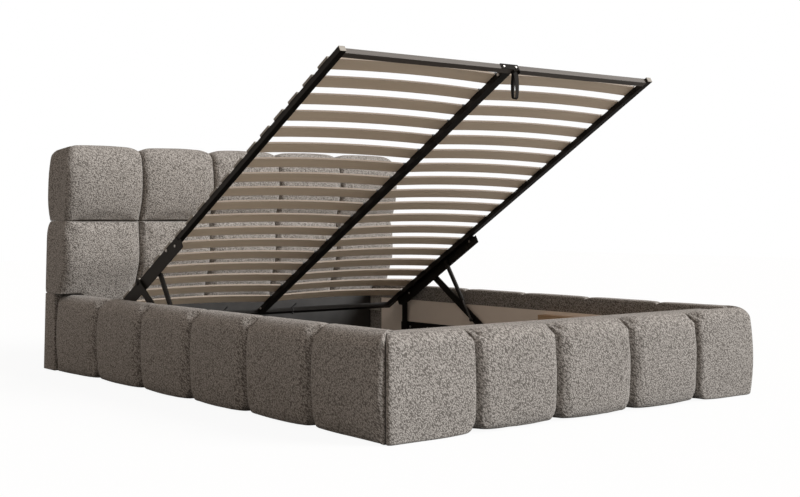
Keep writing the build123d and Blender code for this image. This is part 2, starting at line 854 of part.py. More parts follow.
with BuildPart() as strut_tube:
    disc(along_strut(strut_eye_radius * 2), (0, 0), strut_tube_radius,
         strut_tube_length - strut_eye_radius * 2)
    disc(along_strut(strut_eye_radius * 2 + strut_cap), (0, 0), strut_tube_bore,
         strut_tube_length, mode=Mode.SUBTRACT)
    disc(along_strut(strut_tube_length - strut_cap), (0, 0), strut_tube_radius, strut_cap)
    disc(along_strut(strut_tube_length - strut_cap - overrun), (0, 0),
         strut_rod_radius + strut_rod_clearance, strut_cap + 2 * overrun, mode=Mode.SUBTRACT)
    disc(side_plane(strut_eye_inner_x), strut_high, strut_eye_radius, strut_eye_thickness)
    disc(along_strut(0), (0, 0), strut_neck_radius, strut_eye_radius * 2 + strut_cap / 2)
    disc(side_plane(strut_eye_inner_x - overrun), strut_high, strut_eye_pin_radius + pin_clearance,
         strut_eye_thickness + 2 * overrun, mode=Mode.SUBTRACT)
save(strut_tube, "strut_tube_right")
save(other_side(strut_tube), "strut_tube_left")

with BuildPart() as strut_rod:
    rod_start = strut_tube_length - strut_cap - strut_rod_engagement
    disc(along_strut(rod_start), (0, 0), strut_rod_radius,
         strut_length - strut_eye_radius / 2 - rod_start)
    disc(side_plane(strut_eye_inner_x), strut_low, strut_eye_radius, strut_eye_thickness)
save(strut_rod, "strut_rod_right")
save(other_side(strut_rod), "strut_rod_left")

# Platform of square tubes


def hollow_tube(plane, centre, width, height, length):
    """Square tube of the platform, drawn on a plane and run along its normal."""
    with BuildPart() as piece:
        with BuildSketch(plane):
            with Locations(centre):
                Rectangle(width, height)
                Rectangle(width - 2 * tube_wall, height - 2 * tube_wall, mode=Mode.SUBTRACT)
        extrude(amount=length)
    return piece


tube_mid = tube_height / 2
side_tube_x = platform_half_width - tube_width / 2

with BuildPart() as side_tube:
    with BuildSketch(across_platform(end_cap_flange)):
        with Locations((side_tube_x, tube_mid)):
            Rectangle(tube_width, tube_height)
            Rectangle(tube_width - 2 * tube_wall, tube_height - 2 * tube_wall, mode=Mode.SUBTRACT)
    extrude(amount=platform_length - 2 * end_cap_flange)
    for inset in (lift_plate_head_end + plate_screw_inset, lift_plate_foot_end - plate_screw_inset):
        disc(beside_platform(platform_half_width + overrun), (inset, plate_screw_rise),
             plate_bolt_radius + bolt_clearance, overrun + tube_wall * 2, mode=Mode.SUBTRACT)
save(side_tube, "side_tube_right")
save(other_side(side_tube), "side_tube_left")

cross_half = platform_half_width - tube_width
foot_tube_end = platform_length - end_cap_flange - foot_tube_setback

for start, name in ((end_cap_flange, "head_tube"),
                    (foot_tube_end - tube_width, "foot_tube")):
    save(hollow_tube(beside_platform(cross_half), (start + tube_width / 2, tube_mid), tube_width,
                     tube_height, 2 * cross_half), name)

centre_start = end_cap_flange + tube_width
save(hollow_tube(across_platform(centre_start), (0, tube_mid), centre_tube_width, tube_height,
                 foot_tube_end - tube_width - centre_start), "centre_tube")

with BuildPart() as end_caps:
    for side in (-1, 1):
        with BuildSketch(across_platform(platform_length - end_cap_flange)):
            with Locations((side * side_tube_x, tube_mid)):
                Rectangle(tube_width, tube_height)
        extrude(amount=end_cap_flange)
        with BuildSketch(across_platform(0)):
            with Locations((side * side_tube_x, tube_mid)):
                Rectangle(tube_width, tube_height)
        extrude(amount=end_cap_flange)
        plug = (tube_width - 2 * (tube_wall + end_cap_clearance),
                tube_height - 2 * (tube_wall + end_cap_clearance))
        for start in (end_cap_flange, platform_length - end_cap_flange - end_cap_plug):
            with BuildSketch(across_platform(start)):
                with Locations((side * side_tube_x, tube_mid)):
                    Rectangle(*plug)
            extrude(amount=end_cap_plug)
save(end_caps, "end_caps")

# Lift plate outside each side tube, with the pins of the linkage

with BuildPart() as lift_plate:
    with BuildSketch(beside_platform(lift_plate_x)):
        with BuildLine():
            Polyline((lift_plate_head_end, lift_plate_rise),
                     (lift_plate_foot_end - lift_plate_step, lift_plate_rise),
                     (lift_plate_foot_end - lift_plate_step / 2, lift_plate_rise - lift_plate_step_drop),
                     (lift_plate_foot_end, lift_plate_rise - lift_plate_step_drop),
                     (lift_plate_foot_end, -lift_plate_drop),
                     (lift_plate_head_end + lift_plate_head_chamfer, -lift_plate_drop),
                     (lift_plate_head_end, -lift_plate_drop / 2), close=True)
        make_face()
    extrude(amount=lift_plate_thickness)
    for inset in (lift_plate_head_end + plate_screw_inset, lift_plate_foot_end - plate_screw_inset):
        disc(beside_platform(lift_plate_x + overrun), (inset, plate_screw_rise),
             plate_bolt_radius + bolt_clearance, lift_plate_thickness + 2 * overrun,
             mode=Mode.SUBTRACT)
    for inset in (lift_plate_head_end + 2 * plate_bolt_inset, lift_plate_foot_end - plate_bolt_inset):
        disc(beside_platform(lift_plate_x + overrun), (inset, -plate_bolt_drop),
             plate_bolt_radius + bolt_clearance, lift_plate_thickness + 2 * overrun,
             mode=Mode.SUBTRACT)
    disc(side_plane(lift_plate_x), lift_front, pin_head_radius,
         link_inner_x - lift_plate_x - pin_side_clearance)
    disc(side_plane(lift_plate_x), lift_front, pin_radius,
         link_outer_x + pin_side_clearance - lift_plate_x)
    disc(side_plane(link_outer_x + pin_side_clearance), lift_front, pin_head_radius,
         pin_head_height)
    disc(side_plane(lift_plate_x), lift_rear, pin_head_radius,
         link_inner_x - lift_plate_x - open_pivot_clearance)
    disc(side_plane(strut_eye_outer_x + pin_side_clearance), strut_high, strut_eye_pin_radius * 3 / 2,
         platform_x - strut_eye_outer_x - pin_side_clearance)
    disc(side_plane(strut_eye_inner_x - pin_side_clearance), strut_high, strut_eye_pin_radius,
         strut_eye_thickness + 2 * pin_side_clearance)
    disc(side_plane(strut_eye_inner_x - pin_side_clearance - pin_head_height), strut_high,
         strut_eye_pin_radius * 3 / 2, pin_head_height)
save(lift_plate, "lift_plate_right")
save(other_side(lift_plate), "lift_plate_left")

with BuildPart() as lift_plate_bolts:
    for side in (-1, 1):
        for inset in (lift_plate_head_end + plate_screw_inset,
                      lift_plate_foot_end - plate_screw_inset):
            place = (inset, plate_screw_rise)
            disc(beside_platform(side * lift_plate_x), place, bolt_head_radius,
                 -side * bolt_head_height)
            disc(beside_platform(side * lift_plate_x), place, plate_bolt_radius,
                 side * (lift_plate_thickness + tube_wall * 2))
        for inset in (lift_plate_head_end + 2 * plate_bolt_inset,
                      lift_plate_foot_end - plate_bolt_inset):
            place = (inset, -plate_bolt_drop)
            disc(beside_platform(side * platform_x), place, bolt_head_radius,
                 side * bolt_head_height)
            disc(beside_platform(side * platform_x), place, plate_bolt_radius,
                 -side * lift_plate_thickness)
            disc(beside_platform(side * lift_plate_x), place, nut_radius, -side * nut_height)
save(lift_plate_bolts, "lift_plate_bolts")

# Bowed slats in their holders

slat_floor = tube_height + holder_floor + holder_clearance
slat_outer_x = platform_half_width - slat_side_inset
slat_inner_x = slat_centre_inset
slat_pitch = (platform_length - slat_first - slat_last) / (slat_count - 1)


def slat_outline(side):
    """Bowed slat between a side holder and the centre holder, seen along the platform."""
    a = side * slat_inner_x
    b = side * slat_outer_x
    flat_a = a + side * slat_flat
    flat_b = b - side * slat_flat
    middle = (flat_a + flat_b) / 2
    top = slat_floor + slat_thickness
    with BuildLine() as outline:
        Line((a, slat_floor), (flat_a, slat_floor))
        ThreePointArc((flat_a, slat_floor), (middle, slat_floor + slat_bow), (flat_b, slat_floor))
        Line((flat_b, slat_floor), (b, slat_floor))
        Line((b, slat_floor), (b, top))
        Line((b, top), (flat_b, top))
        ThreePointArc((flat_b, top), (middle, top + slat_bow), (flat_a, top))
        Line((flat_a, top), (a, top))
        Line((a, top), (a, slat_floor))
    make_face(outline.edges())


for side, name in ((-1, "slats_left"), (1, "slats_right")):
    with BuildPart() as slats:
        for index in range(slat_count):
            with BuildSketch(across_platform(slat_first + index * slat_pitch - slat_width / 2)):
                slat_outline(side)
            extrude(amount=slat_width)
    save(slats, name)


def holder_group(x_low, x_high, slots):
    """Row of slat holders that stand on one tube, each with a slot for each slat end."""
    with BuildPart() as group:
        for index in range(slat_count):
            middle = slat_first + index * slat_pitch
            with BuildSketch(across_platform(middle - holder_length / 2)):
                with Locations(((x_low + x_high) / 2, tube_height + holder_height / 2)):
                    Rectangle(x_high - x_low, holder_height)
            extrude(amount=holder_length)
            slot_height = holder_height - holder_floor + overrun
            with BuildSketch(across_platform(middle - slat_width / 2 - holder_clearance)):
                for slot_low, slot_high in slots:
                    with Locations(((slot_low + slot_high) / 2,
                                    tube_height + holder_floor + slot_height / 2)):
                        Rectangle(slot_high - slot_low, slot_height)
            extrude(amount=slat_width + 2 * holder_clearance, mode=Mode.SUBTRACT)
    return group


holder_inner_x = platform_half_width - tube_width - holder_overhang
holder_outer_x = platform_half_width + holder_overhang
holder_right = holder_group(holder_inner_x, holder_outer_x,
                            ((holder_inner_x - overrun, holder_inner_x + holder_slot_depth),))
save(holder_right, "slat_holders_right")
save(other_side(holder_right), "slat_holders_left")

centre_holder_x = centre_tube_width / 2 + holder_centre_overhang
save(holder_group(-centre_holder_x, centre_holder_x,
                  ((-centre_holder_x - overrun, holder_centre_slot - centre_holder_x),
                   (centre_holder_x - holder_centre_slot, centre_holder_x + overrun))),
     "slat_holders_centre")

# Pull strap: a loop of webbing round a bar that two cheeks of the anchor hold under the foot tube

strap_along = foot_tube_end - tube_width / 2
strap_eye_radius = strap_bar_radius + strap_bar_clearance + strap_thickness
strap_bar_drop = strap_eye_radius + strap_bar_gap
strap_y, strap_z = platform_point(strap_along, -strap_bar_drop)
strap_low_z = strap_z - strap_drop
strap_spread_share = (strap_loop_radius - strap_eye_radius) / strap_drop
strap_lean_share = math.sqrt(1 - strap_spread_share ** 2)


def strap_outline(inset):
    """Closed outline round the bar and the hand loop, set in from the webbing's outer face."""
    top_radius = strap_eye_radius - inset
    low_radius = strap_loop_radius - inset
    high = strap_z - top_radius * strap_spread_share
    low = strap_low_z - low_radius * strap_spread_share
    with BuildLine() as outline:
        ThreePointArc((strap_y - top_radius * strap_lean_share, high), (strap_y, strap_z + top_radius),
                      (strap_y + top_radius * strap_lean_share, high))
        Line((strap_y + top_radius * strap_lean_share, high),
             (strap_y + low_radius * strap_lean_share, low))
        ThreePointArc((strap_y + low_radius * strap_lean_share, low),
                      (strap_y, strap_low_z - low_radius),
                      (strap_y - low_radius * strap_lean_share, low))
        Line((strap_y - low_radius * strap_lean_share, low),
             (strap_y - top_radius * strap_lean_share, high))
    return outline.edges()


with BuildPart() as lift_strap:
    with BuildSketch(side_plane(strap_offset - strap_width / 2)):
        make_face(strap_outline(0))
        make_face(strap_outline(strap_thickness), mode=Mode.SUBTRACT)
    extrude(amount=strap_width)
save(lift_strap, "lift_strap")

with BuildPart() as strap_anchor:
    plate_outer = foot_tube_end + anchor_thickness
    plate_top = tube_height + anchor_thickness
    with BuildSketch(beside_platform(anchor_offset + anchor_width / 2)):
        with BuildLine():
            Polyline((foot_tube_end - tube_width, tube_height), (foot_tube_end, tube_height),
                     (foot_tube_end, 0), (plate_outer, 0), (plate_outer, plate_top),
                     (foot_tube_end - tube_width, plate_top), close=True)
        make_face()
    extrude(amount=anchor_width)
    cheek_head = strap_along - anchor_cheek_rim
    cheek_drop = strap_bar_drop + anchor_cheek_rim
    cheek_reach = strap_width / 2 + strap_side_gap
    for cheek_x in (strap_offset - cheek_reach, strap_offset + cheek_reach + anchor_thickness):
        with BuildSketch(beside_platform(cheek_x)):
            with BuildLine():
                Polyline((foot_tube_end, tube_mid), (plate_outer, tube_mid),
                         (plate_outer, -cheek_drop), (cheek_head, -cheek_drop),
                         (cheek_head, -anchor_cheek_gap), (foot_tube_end, -anchor_cheek_gap),
                         close=True)
            make_face()
        extrude(amount=anchor_thickness)
    disc(side_plane(strap_offset - cheek_reach), (strap_y, strap_z), strap_bar_radius,
         2 * cheek_reach)
save(strap_anchor, "strap_anchor")

with BuildPart() as strap_screws:
    for side in (-1, 1):
        screw_plane = across_platform(foot_tube_end + anchor_thickness)
        disc(screw_plane, (anchor_offset + side * anchor_screw_spread / 2, tube_mid),
             screw_head_radius, screw_head_height)
save(strap_screws, "strap_screws")

# Cable ties round the head tube and bolts of the centre tube

with BuildPart() as cable_ties:
    for place in (tie_offset_left, tie_offset_right):
        tie_middle = (end_cap_flange + tube_width / 2, tube_mid)
        with BuildSketch(beside_platform(place)):
            with Locations(tie_middle):
                Rectangle(tube_width + 2 * tie_thickness, tube_height + 2 * tie_thickness)
                Rectangle(tube_width, tube_height, mode=Mode.SUBTRACT)
        extrude(amount=tie_width)
        with BuildSketch(beside_platform(place)):
            with Locations((end_cap_flange + tube_width / 2, -tie_thickness - tie_knob / 2)):
                Rectangle(tie_knob, tie_knob)
        extrude(amount=tie_width)
        with BuildSketch(beside_platform(place)):
            with Locations((end_cap_flange + tube_width + tie_thickness + tie_tail / 2,
                            tube_height + tie_thickness / 2)):
                Rectangle(tie_tail, tie_thickness)
        extrude(amount=tie_width)
save(cable_ties, "cable_ties")

with BuildPart() as centre_tube_bolts:
    for inset in (centre_start + tube_width, foot_tube_end - 2 * tube_width):
        for side in (-1, 1):
            with BuildSketch(beside_platform(side * centre_tube_width / 2)):
                with Locations((inset, tube_mid)):
                    Circle(centre_bolt_radius)
            extrude(amount=-side * centre_bolt_height)
save(centre_tube_bolts, "centre_tube_bolts")
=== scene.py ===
"""Looks of an upholstered storage bed: pads, fabric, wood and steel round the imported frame."""
from __future__ import annotations

import json
import logging
import math
from collections.abc import Callable, Iterator
from dataclasses import dataclass, field
from enum import Enum

import bpy
import numpy as np
from mathutils import Matrix, Vector, noise

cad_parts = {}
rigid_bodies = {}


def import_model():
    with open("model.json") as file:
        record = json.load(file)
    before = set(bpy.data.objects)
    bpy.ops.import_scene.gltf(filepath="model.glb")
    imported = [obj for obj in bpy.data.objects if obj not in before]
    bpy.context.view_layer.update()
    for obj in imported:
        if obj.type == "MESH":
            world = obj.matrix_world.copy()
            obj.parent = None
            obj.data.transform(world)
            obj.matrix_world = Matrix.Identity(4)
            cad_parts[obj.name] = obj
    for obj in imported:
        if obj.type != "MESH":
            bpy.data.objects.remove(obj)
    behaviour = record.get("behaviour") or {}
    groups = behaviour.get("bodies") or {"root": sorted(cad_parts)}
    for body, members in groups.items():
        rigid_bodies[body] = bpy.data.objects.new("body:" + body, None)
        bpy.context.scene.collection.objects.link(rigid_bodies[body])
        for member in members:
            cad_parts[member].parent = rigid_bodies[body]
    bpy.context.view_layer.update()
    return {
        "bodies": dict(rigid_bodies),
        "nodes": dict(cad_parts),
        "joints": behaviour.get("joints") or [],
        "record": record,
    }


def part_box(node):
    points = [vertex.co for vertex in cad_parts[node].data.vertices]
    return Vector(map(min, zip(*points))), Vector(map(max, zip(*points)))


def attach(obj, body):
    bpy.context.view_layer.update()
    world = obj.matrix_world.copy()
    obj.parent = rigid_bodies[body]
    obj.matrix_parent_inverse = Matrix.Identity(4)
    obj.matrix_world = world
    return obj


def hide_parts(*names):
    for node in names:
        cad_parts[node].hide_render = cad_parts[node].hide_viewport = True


LOG = logging.getLogger("storage_bed")
MM = 0.001

Point = Pair = tuple[float, float]
Piece = bpy.types.Object
Socket = bpy.types.NodeSocket


class Side(Enum):
    """Side of the bed, seen from its foot."""

    LEFT = -1
    RIGHT = 1


class Mix(Enum):
    """Ways of mixing two colours."""

    BLEND = "MIX"
    DARKEN = "MULTIPLY"


def feed(socket: Socket, value: object) -> None:
    """Gives an input its value.

    Args:
        socket: The input.
        value: A signal or an output to link to it, or its plain number, vector or colour.
    """
    source = getattr(value, "socket", value)
    if isinstance(source, Socket):
        socket.id_data.links.new(source, socket)
    elif socket.type == "RGBA":
        socket.default_value = (*value, 1.0)
    else:
        socket.default_value = value


def sign(operation: str, reflected: bool = False) -> Callable:
    """A Python operator that adds a Math node.

    Args:
        operation: The node's operation.
        reflected: Whether the operands are taken the other way round.

    Returns:
        The operator, as a method of a signal.
    """
    def apply(self: "Signal", other: "Signal | float") -> "Signal":
        """Adds the node."""
        return self.maths(operation, *((other, self) if reflected else (self, other)))
    return apply


@dataclass(frozen=True)
class Signal:
    """A shader value that adds its own maths nodes when it is used in an expression."""

    socket: Socket

    def maths(self, operation: str, *values: "Signal | float", clamp: bool = False) -> "Signal":
        """Adds one Math node.

        Args:
            operation: The node's operation.
            values: Its inputs, as signals or numbers.
            clamp: Whether the result is held between 0 and 1.

        Returns:
            The node's result.
        """
        node = self.socket.id_data.nodes.new("ShaderNodeMath")
        node.operation = operation
        node.use_clamp = clamp
        for socket, value in zip(node.inputs, values):
            feed(socket, value)
        return Signal(node.outputs[0])

    __add__, __radd__ = sign("ADD"), sign("ADD", reflected=True)
    __sub__, __rsub__ = sign("SUBTRACT"), sign("SUBTRACT", reflected=True)
    __mul__, __rmul__ = sign("MULTIPLY"), sign("MULTIPLY", reflected=True)

    def clamped(self) -> "Signal":
        """The value held between 0 and 1."""
        return self.maths("ADD", self, 0.0, clamp=True)


class Kit:
    """The nodes of a material or a world under construction."""

    def __init__(self, owner: bpy.types.Material | bpy.types.World) -> None:
        """Turns the owner's nodes on."""
        owner.use_nodes = True
        self.tree = owner.node_tree

    def node(self, kind: str, settings: dict | None = None,
             inputs: dict | None = None) -> bpy.types.Node:
        """Adds any node, with its settings made first.

        Args:
            kind: The node's type.
            settings: Its properties by name.
            inputs: Values, signals or sockets for its inputs, by name or number.

        Returns:
            The node.
        """
        made = self.tree.nodes.new(kind)
        for key, value in (settings or {}).items():
            setattr(made, key, value)
        for key, value in (inputs or {}).items():
            feed(made.inputs[key], value)
        return made

    def seen(self) -> Signal:
        """1 for rays that the camera sees, straight or through something clear, else 0."""
        path = self.node("ShaderNodeLightPath")
        direct = Signal(path.outputs["Is Camera Ray"])
        return direct.maths("MAXIMUM", direct, Signal(path.outputs["Is Transmission Ray"]))

    def show(self, output: str, factor: Signal, rest: Socket, shown: Socket) -> None:
        """Mixes two shaders, the second's share as the factor, into an output node."""
        mix = self.node("ShaderNodeMixShader", {}, {0: factor, 1: rest, 2: shown})
        feed(self.tree.nodes[output].inputs["Surface"], mix.outputs[0])


class Palette(Kit):
    """One material under construction, with its shader and the nodes that feed it."""

    def __init__(self, name: str) -> None:
        """Starts a node material of this name."""
        self.material = bpy.data.materials.new(name)
        super().__init__(self.material)
        self.shader = self.tree.nodes["Principled BSDF"]
        self.place = self.node("ShaderNodeTexCoord").outputs["Object"]

    def mapped(self, at: Socket | None = None, **settings: tuple) -> Socket:
        """A place, or the place on the piece, with a Mapping node's Scale or Rotation."""
        return self.node("ShaderNodeMapping", {}, {"Vector": at or self.place,
                                                   **settings}).outputs[0]

    def speckle(self, scale: float, detail: float = 2.0, rough: float = 0.5,
                at: Socket | None = None) -> Signal:
        """Cloudy noise between 0 and 1, with so many features per metre and octaves."""
        made = self.node("ShaderNodeTexNoise", {}, {"Vector": at or self.place, "Scale": scale,
                                                   "Detail": detail, "Roughness": rough})
        return Signal(made.outputs[0])

    def loops(self, scale: float, at: Socket) -> Signal:
        """Rounded bumps packed side by side, broad on top with narrow gaps."""
        made = self.node("ShaderNodeTexVoronoi", {"feature": "SMOOTH_F1"},
                         {"Vector": at, "Scale": scale, "Smoothness": 0.3})
        away = Signal(made.outputs["Distance"])
        return 1.0 - away * away

    def weave(self, bands: tuple[str, str], scales: Pair, distortion: float) -> Signal:
        """Two crossed sets of threads.

        Args:
            bands: The axis that each set crosses.
            scales: How fine each set is.
            distortion: How unevenly they run.

        Returns:
            Their height from 0 to 1.
        """
        both = [Signal(self.node(
            "ShaderNodeTexWave", {"bands_direction": way},
            {"Vector": self.place, "Scale": scale, "Distortion": distortion}).outputs[1])
            for way, scale in zip(bands, scales)]
        return both[0] * 0.5 + both[1] * 0.5

    def ramp(self, factor: Signal, *stops: tuple) -> Socket:
        """A colour from a ramp.

        Args:
            factor: Where it is read.
            stops: The ramp's places, each with its colour.

        Returns:
            The colour's socket.
        """
        made = self.node("ShaderNodeValToRGB", {}, {0: factor})
        elements = made.color_ramp.elements
        while len(elements) < len(stops):
            elements.new(1.0)
        for element, (place, colour) in zip(elements, stops):
            element.position = place
            element.color = (*colour, 1.0)
        return made.outputs[0]

    def mixed(self, factor: Signal | float, a: object, b: object,
              way: Mix = Mix.BLEND) -> Socket:
        """Two colours or their sockets mixed, with the second's share as the factor."""
        return self.node("ShaderNodeMix", {"data_type": "RGBA", "blend_type": way.value},
                         {0: factor, 6: a, 7: b}).outputs[2]

    def warped(self, scale: float, amount: float) -> Socket:
        """The place on the piece pushed about by noise, in metres."""
        cloud = self.speckle(scale).socket.node
        push = self.node("ShaderNodeVectorMath", {"operation": "SCALE"},
                         {0: cloud.outputs["Color"], "Scale": amount})
        return self.node("ShaderNodeVectorMath", {"operation": "ADD"},
                         {0: self.place, 1: push.outputs[0]}).outputs[0]

    def finish(self, colour: object, roughness: Signal | float, height: Signal | None = None,
               bump: float = 0.5, depth: float = 0.001, metallic: float = 0.0,
               sheen: float = 0.0, gloss: float = 0.5) -> bpy.types.Material:
        """Joins the parts of the finish to the shader.

        Args:
            colour: Base colour or its socket.
            roughness: Roughness or its signal.
            height: Relief, if any.
            bump: Strength of the relief.
            depth: Depth of the relief in metres.
            metallic: How metallic the surface is.
            sheen: Weight of the cloth sheen.
            gloss: How strongly a bare surface reflects; 0.5 is common.

        Returns:
            The finished material.
        """
        inputs = {"Base Color": colour, "Roughness": roughness, "Metallic": metallic,
                  "Sheen Weight": sheen, "Sheen Roughness": 0.6, "Specular IOR Level": gloss}
        if height is not None:
            inputs["Normal"] = self.node("ShaderNodeBump", {}, {
                "Strength": bump, "Distance": depth, "Height": height}).outputs[0]
        for name, value in inputs.items():
            feed(self.shader.inputs[name], value)
        return self.material


@dataclass(frozen=True)
class Boucle:
    """Coarse looped boucle in a warm taupe."""

    name: str = "boucle"
    # gap is painted shade between the loops and tip a painted highlight on their tops; loop is the
    # yarn's own colour.
    gap: tuple = (0.092, 0.083, 0.074)
    loop: tuple = (0.250, 0.235, 0.218)
    painted_tip_highlight: tuple = (0.465, 0.443, 0.418)
    rows_per_metre: float = 275.0
    stretch: tuple = (0.40, 0.8, 1.0)
    relief: float = 0.0026
    unevenness: Pair = (45.0, 0.006)
    finer: float = 2.3
    hairs_per_metre: float = 900.0
    shares: tuple = (0.62, 0.22, 0.18)

    def build(self) -> bpy.types.Material:
        """Loops of yarn lying in slanted rows, with painted shade in the gaps and painted
        highlights on the tips.

        Returns:
            The finished material.
        """
        kit = Palette(self.name)
        turned = kit.mapped(kit.warped(*self.unevenness), Rotation=(0.0, 0.0, math.pi / 4))
        slanted = kit.mapped(turned, Rotation=(0.0, -math.pi / 4, 0.0))
        rows = kit.mapped(slanted, Scale=self.stretch)
        coarse = kit.loops(self.rows_per_metre, rows)
        fine = kit.loops(self.rows_per_metre * self.finer, rows)
        hair = kit.speckle(self.hairs_per_metre, 2.0, 0.6)
        height = coarse * self.shares[0] + fine * self.shares[1] + hair * self.shares[2]
        # Painted shade in the gaps and painted highlights on the tips, read from the relief's
        # height.
        tone = kit.ramp(height, (0.58, self.gap), (0.76, self.loop), (0.94, self.painted_tip_highlight))
        patchy = kit.ramp(kit.speckle(6.0), (0.3, (0.95,) * 3), (0.7, (1.0,) * 3))
        colour = kit.mixed(1.0, tone, patchy, Mix.DARKEN)
        return kit.finish(colour, 0.95, height, 0.8, self.relief, sheen=0.1)


@dataclass(frozen=True)
class Lining:
    """Flat woven lining of the storage well."""

    name: str = "lining"
    thread: tuple = (0.85, 0.77, 0.69)
    shade: tuple = (0.73, 0.655, 0.585)
    threads_per_metre: float = 700.0

    def build(self) -> bpy.types.Material:
        """Fine crossed threads with a faint cloudiness.

        Returns:
            The finished material.
        """
        kit = Palette(self.name)
        weave = kit.weave(("Y", "Z"), (self.threads_per_metre / 6,) * 2, 1.0)
        cloud = kit.speckle(9.0, 3.0)
        colour = kit.ramp(weave * 0.5 + cloud * 0.5, (0.3, self.shade), (0.7, self.thread))
        return kit.finish(colour, 0.9, weave, 0.3, 0.0004, sheen=0.1)


@dataclass(frozen=True)
class Grained:
    """Wood or brushed paint with its grain along one axis."""

    name: str
    light: tuple
    dark: tuple
    stretch: tuple = (1.0, 14.0, 14.0)
    roughness: float = 0.5
    relief: float = 0.0003

    def over(self, kit: Palette, face: Socket) -> Socket:
        """The grain's colour with anything laid over it; here nothing."""
        return face

    def build(self) -> bpy.types.Material:
        """Long fibres, broad bands and small pores.

        Returns:
            The finished material.
        """
        kit = Palette(self.name)
        along = kit.mapped(Scale=self.stretch)
        fibre = kit.speckle(38.0, 5.0, 0.7, along)
        tone = kit.speckle(3.0, 4.0, 0.6, along) * 0.55 + fibre * 0.45
        face = kit.ramp(tone, (0.34, self.dark), (0.66, self.light))
        rough = fibre * 0.2 + (self.roughness - 0.1)
        return kit.finish(self.over(kit, face), rough, fibre, 0.35, self.relief)


@dataclass(frozen=True)
class Laminated(Grained):
    """Bent plywood of the slats, with painted shade on their long edges."""

    # edge is a painted shade colour that darkens the slats' sunlit long edges.
    edge: tuple = (0.25, 0.20, 0.152)
    tilt: float = 30.44
    first_middle: float = -1230.81 * MM
    pitch: float = 103.2 * MM
    half_width: float = 29 * MM
    edge_band: float = 0.5 * MM

    def over(self, kit: Palette, face: Socket) -> Socket:
        """Painted shade along each slat's two long edges, where the sun falls on them."""
        level = kit.mapped(Rotation=(math.radians(self.tilt), 0.0, 0.0))
        parts = kit.node("ShaderNodeSeparateXYZ", {}, {0: level})
        turns = (Signal(parts.outputs[1]) - self.first_middle) * (1 / self.pitch) + 0.5
        away = turns.maths("ABSOLUTE", turns.maths("FRACT", turns) - 0.5) * self.pitch
        # Painted shade: a band at each long edge of a slat takes the edge colour.
        painted_edge_shade = ((away - (self.half_width - 2 * self.edge_band))
               * (1 / self.edge_band)).clamped()
        return kit.mixed(painted_edge_shade, face, self.edge)


@dataclass(frozen=True)
class Coated:
    """Powder-coated steel."""

    name: str
    colour: tuple
    roughness: float = 0.42
    relief: float = 0.00025

    def build(self) -> bpy.types.Material:
        """Fine orange peel with faint rubbed patches.

        Returns:
            The finished material.
        """
        kit = Palette(self.name)
        peel = kit.speckle(700.0)
        wear = kit.speckle(24.0, 4.0, 0.6)
        lighter = tuple(min(1.0, part * 1.6 + 0.004) for part in self.colour)
        colour = kit.ramp(wear, (0.45, self.colour), (0.8, lighter))
        rough = wear * 0.18 + (self.roughness - 0.06)
        return kit.finish(colour, rough, peel, 0.25, self.relief, gloss=0.22)


@dataclass(frozen=True)
class Moulded:
    """Moulded plastic with a fine grain."""

    name: str
    colour: tuple
    roughness: float = 0.5

    def build(self) -> bpy.types.Material:
        """Spark-eroded grain with a little dust.

        Returns:
            The finished material.
        """
        kit = Palette(self.name)
        grain = kit.speckle(1200.0)
        lighter = tuple(min(1.0, part * 1.35 + 0.006) for part in self.colour)
        colour = kit.ramp(kit.speckle(15.0, 3.0), (0.4, self.colour), (0.75, lighter))
        return kit.finish(colour, grain * 0.1 + self.roughness, grain, 0.2, 0.0002)


@dataclass(frozen=True)
class Metal:
    """Bare plated metal."""

    name: str
    colour: tuple
    roughness: float = 0.3

    def build(self) -> bpy.types.Material:
        """Drawn streaks and faint marks.

        Returns:
            The finished material.
        """
        kit = Palette(self.name)
        streak = kit.speckle(60.0, 4.0, 0.6, kit.mapped(Scale=(4.0, 4.0, 0.5)))
        darker = tuple(part * 0.8 for part in self.colour)
        colour = kit.ramp(streak, (0.35, darker), (0.65, self.colour))
        return kit.finish(colour, streak * 0.2 + self.roughness, streak, 0.15, 0.0001,
                          metallic=1.0)


@dataclass(frozen=True)
class Webbing:
    """Black woven webbing."""

    name: str = "webbing"
    colour: tuple = (0.009, 0.0083, 0.0076)

    def build(self) -> bpy.types.Material:
        """Ribs of the weave across the band.

        Returns:
            The finished material.
        """
        kit = Palette(self.name)
        weave = kit.weave(("Z", "X"), (110.0, 150.0), 0.4)
        lighter = tuple(part * 3 for part in self.colour)
        colour = kit.ramp(weave, (0.2, self.colour), (0.9, lighter))
        return kit.finish(colour, 0.85, weave, 0.6, 0.0006, gloss=0.12)


FINISHES = {made.name: made for made in (
    Boucle(),
    Lining(),
    Laminated("beech", (0.92, 0.78, 0.61), (0.81, 0.67, 0.51)),
    Grained("softwood", (0.52, 0.36, 0.23), (0.38, 0.25, 0.145), (12.0, 1.0, 12.0)),
    Grained("chipboard", (0.30, 0.25, 0.19), (0.20, 0.16, 0.12), (5.0, 4.0, 5.0)),
    Grained("brushed_paint", (0.100, 0.089, 0.078), (0.062, 0.054, 0.047), (1.0, 40.0, 40.0)),
    Moulded("dark_board", (0.012, 0.011, 0.010), 0.55),
    Moulded("back_cloth", (0.02, 0.018, 0.017), 0.85),
    Moulded("black_plastic", (0.012, 0.012, 0.012), 0.45),
    Moulded("grey_plastic", (0.22, 0.205, 0.18), 0.5),
    Webbing(),
    Coated("grey_paint", (0.30, 0.29, 0.27), 0.45),
    Coated("black_paint", (0.0052, 0.0044, 0.0036), 0.48),
    Metal("chrome_rod", (0.10, 0.10, 0.10), 0.28),
    Metal("zinc", (0.78, 0.77, 0.75), 0.42),
)}


